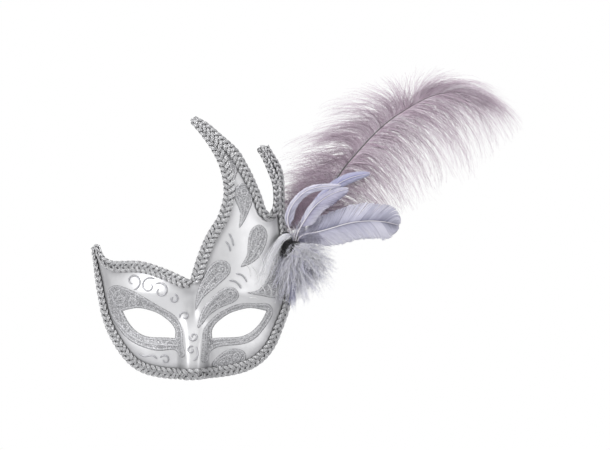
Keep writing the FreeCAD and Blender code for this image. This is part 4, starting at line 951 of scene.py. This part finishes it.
def goose_feather(name, points, widths, bare, barbs, full, right_side_shade, paint, rng):
    """One goose feather. Each barb runs from the shaft out to the blade's edge, sweeping ahead as it
    goes; the blade's half width along the shaft comes from the table, rounded off beyond the full
    share as an ellipse, and its sides fall back a little by the square of the way out. Barbs are flat
    strips that overlap the next. The right side is darkened towards its edge by painted shade, and
    each blade is painted darker close to the shaft, for the shade in the crease there."""
    points = [tuple(np.array(points[0]) - INTO_BINDING)] + list(points)
    line = flow(points, 1.0)
    share = np.linspace(0, 1, len(line))
    quill = made(name + "_quill", rings(line[None], np.broadcast_to((0.0, -1.0, 0.0), line[None].shape),
                                        (0.62 - 0.42 * share)[None], 8), ring_faces(1, len(line), 8))
    quill.data.materials.append(pale_shaft)
    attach(quill, name)
    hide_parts(name + "_shaft")

    begin = share[np.linalg.norm(line - np.array(points[bare + 1]), axis=1).argmin()]
    table = np.array(widths[bare:], float)
    root = np.tile(np.linspace(0, 0.985, barbs), 2)
    side = np.repeat([0, 1], barbs)
    clump = np.cumsum(rng.uniform(size=len(root)) < 0.045)
    shift = rng.normal(size=clump.max() + 1)[clump]
    out = np.linspace(0, 1, BLADE_STATIONS)
    sweep = np.minimum(BARB_SWEEP, (1 - root) * 0.9) * (1 + 0.035 * shift)
    along = np.clip(root[:, None] + sweep[:, None] * out ** 0.85, 0, 1)
    place = begin + (1 - begin) * along
    at = np.stack([np.interp(place, share, line[:, k]) for k in range(3)], -1)
    ahead = unit(np.stack([np.interp(place, share, g) for g in np.gradient(line, axis=0).T], -1))
    aside = unit(np.cross(ahead, (0.0, -1.0, 0.0)))
    sign = (2 * side - 1)[:, None, None]
    stops = np.linspace(0, 1, len(table))
    left_half, right_half = (np.interp(along, stops, table[:, k]) for k in (0, 1))
    half = np.where(side[:, None] == 0, left_half, right_half)
    half = half * np.sqrt(1 - np.clip((along - full) / (1 - full), 0, 0.995) ** 2)
    reach = half * (1 + 0.035 * rng.normal(size=len(root)) + 0.03 * shift)[:, None] * out
    fall = BLADE_CAMBER * reach * out + 0.12 * shift[:, None] * out + 0.25 * (clump % 2)[:, None] * out
    middle = at + aside * sign * reach[..., None] + np.array([0, 1.0, 0]) * (BLADE_LIFT + fall)[..., None]
    length = np.linalg.norm(np.diff(line, axis=0), axis=1).sum() * (1 - begin)
    strip = 0.9 * length / barbs * np.linspace(1.0, 0.75, BLADE_STATIONS)
    facing = np.broadcast_to((0.0, -1.0, 0.0), middle.shape)
    skin = rings(middle, facing, np.broadcast_to(strip, middle.shape[:2]), 4, BARB_FLATNESS)
    shade = 0.58 + 0.06 * rng.normal(size=len(root)) + 0.13 * shift
    # Painted shade: darker close to the shaft and on the right side towards its edge; paler towards the edge.
    shade = shade[:, None] + 0.26 * out - 0.42 * (1 - out) ** 4 - right_side_shade * (side * (1 + shift))[:, None] * out
    blade = made(name + "_blade", skin, ring_faces(len(root), BLADE_STATIONS, 4),
                 shade=np.repeat(shade.ravel(), 4))
    blade.data.materials.append(paint)
    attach(blade, name)
    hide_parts(name + "_vane")


rng = np.random.default_rng(23)
for (name, row), paint in zip(GOOSE.items(), (grey_lavender, lavender, lavender, blue_lilac)):
    goose_feather(name, *row, paint, rng)

# The downy barbs low on the long feather's quill, below its blade.
DOWN_COUNT = 270
foot = flow([tuple(each) for each in GOOSE["goose_long"][0][:3]], 0.5)
hand = np.where(rng.uniform(size=DOWN_COUNT) < 0.6, -1.0, 1.0)
spot = rng.uniform(np.where(hand < 0, 7, 2), len(foot) - 1).astype(int)
along = unit(np.gradient(foot, axis=0))[spot]
way = np.arctan2(along[:, 2], along[:, 0]) + hand * np.radians(rng.uniform(12, np.where(hand < 0, 104, 66)))
aim = np.stack([np.cos(way), rng.uniform(-0.02, 0.16, DOWN_COUNT), np.sin(way)], -1)
run = rng.uniform(7, 18, DOWN_COUNT)[:, None]
start = foot[spot] + rng.normal(size=(DOWN_COUNT, 3)) * (0.4, 0.3, 0.4)
lines = strands(start, (aim + along) * run * 0.3, start + aim * run,
                unit(aim + (0.2, 0.0, -0.4)) * run * 0.3, 10)
down_shade = 0.70 + 0.14 * rng.normal(size=DOWN_COUNT)
furred("goose_long_down", lines, 0.13, 56, 2.4, 0.8, down_shade, rng, "goose_long", (),
       lavender)

# ---------------------------------------------------------------- marabou and loose down
# Dyed marabou tied in under the goose feathers: limp down that spills over the shell's edge and hangs
# beside it, with one stripped curl that lies over the temple and a pointed tip under it all.

lilac_down = feather_paint("lilac_marabou", (0.36, 0.35, 0.50), (0.76, 0.75, 0.93), (0.98, 0.98, 1.0), 0.6)


def spray(name, count, x, z, y, ways, runs, sag, per_line, fur, shade, rng, nodes, slot, paint, thick=0.14):
    """Down that springs from a small region and fans between two ways in degrees, sagging at its ends
    by a share of its run."""
    start = np.stack([rng.uniform(*x, count), rng.uniform(*y, count), rng.uniform(*z, count)], -1)
    way = np.radians(rng.uniform(*ways, count))
    aim = np.stack([np.cos(way), rng.normal(size=count) * 0.14, np.sin(way)], -1)
    run = rng.uniform(*runs, count)[:, None]
    end = start + aim * run + np.array([0, 0, -1.0]) * run * sag
    arrival = unit(aim + np.array([0, 0, -2.0 * sag - 0.2])) * run * 0.3
    lines = strands(start, aim * run * 0.45, end, arrival, 10)
    shades = shade + 0.13 * rng.normal(size=count)
    furred(name, lines, thick, per_line, fur, 0.7, shades, rng, "mask", nodes, paint)


# Each row: how many barbs, the region across, up and back, the ways, the runs, the sag, the barbules
# on a barb, their length and the shade.
SPRAYS = {
    "marabou_beside": (460, (86, 106), (54, 79), (32.6, 39), (-116, 6), (12, 30), 0.14, 70, 3.2, 0.84),
    "marabou_over_edge": (330, (80, 97), (50, 72), (25.0, 30), (-128, -36), (12, 30), 0.08, 76, 3.0, 0.82),
    "marabou_over_binding": (300, (87, 106), (64, 78), (23.5, 26.4), (-140, 8), (7, 18), 0.10, 60, 2.6, 0.84),
    "marabou_behind_quills": (150, (88, 100), (75, 81), (43, 47), (25, 135), (6, 13), 0.0, 50, 2.6, 0.5),
    "pointed_under_tip": (90, (90, 93), (50, 58), (28.2, 29.6), (-99, -90), (24, 37), 0.0, 12, 1.6, 0.45),
    "pad_fuzz": (260, (79, 91), (69, 81), (24.5, 26.5), (60, 330), (3, 8), 0.05, 16, 1.6, 0.3),
}
rng = np.random.default_rng(37)
for name, nodes, thick in (("marabou_beside", ("marabou_tuft",), 0.14),
                           ("marabou_over_edge", ("marabou_cover",), 0.14),
                           ("marabou_over_binding", (), 0.12), ("marabou_behind_quills", (), 0.12)):
    spray(name, *SPRAYS[name], rng, nodes, "marabou", lilac_down, thick)
spray("pointed_under_tip", *SPRAYS["pointed_under_tip"], rng, ("down_tip",), "lilac_feather", blue_lilac)

# The stripped curl: a fan of long bare barbs that spring from the binding and lie over the temple.
CURL_COUNT, CURL_CLEARANCE = 70, 4.6
curl_start = np.array([[86.0, 26.4, 84.0]]) + rng.normal(size=(CURL_COUNT, 3)) * (1.2, 0.3, 1.6)
curl_far = rng.uniform(0, 1, CURL_COUNT)
curl_x = 80 - 20 * curl_far - rng.uniform(0, 6, CURL_COUNT)
curl_z = 66 - 27 * curl_far + rng.uniform(-4, 8, CURL_COUNT)
curl_end = on_face(curl_x, curl_z, CURL_CLEARANCE)
curl_heads = unit(np.array([[-1.0, -0.55, 0.35]]) + rng.normal(size=(CURL_COUNT, 3)) * 0.12) * 11
curl_fall = 8 + 9 * curl_far[:, None]
curl_tails = unit(np.array([[-0.1, 0.0, -1.0]]) + rng.normal(size=(CURL_COUNT, 3)) * 0.1) * curl_fall
furred("stripped_curl", strands(curl_start, curl_heads, curl_end, curl_tails, 14), 0.17, 26, 1.1, 1.2,
       0.95 + 0.1 * rng.normal(size=CURL_COUNT), rng, "mask", ("hackle_curl",), lilac_down)

# Loose black fibres that stand off the felt pad.
dark_down = feather_paint("black_down", (0.010, 0.010, 0.012), (0.035, 0.033, 0.037), (0.10, 0.095, 0.105))
spray("pad_fuzz", *SPRAYS["pad_fuzz"], rng, (), "black_felt", dark_down)
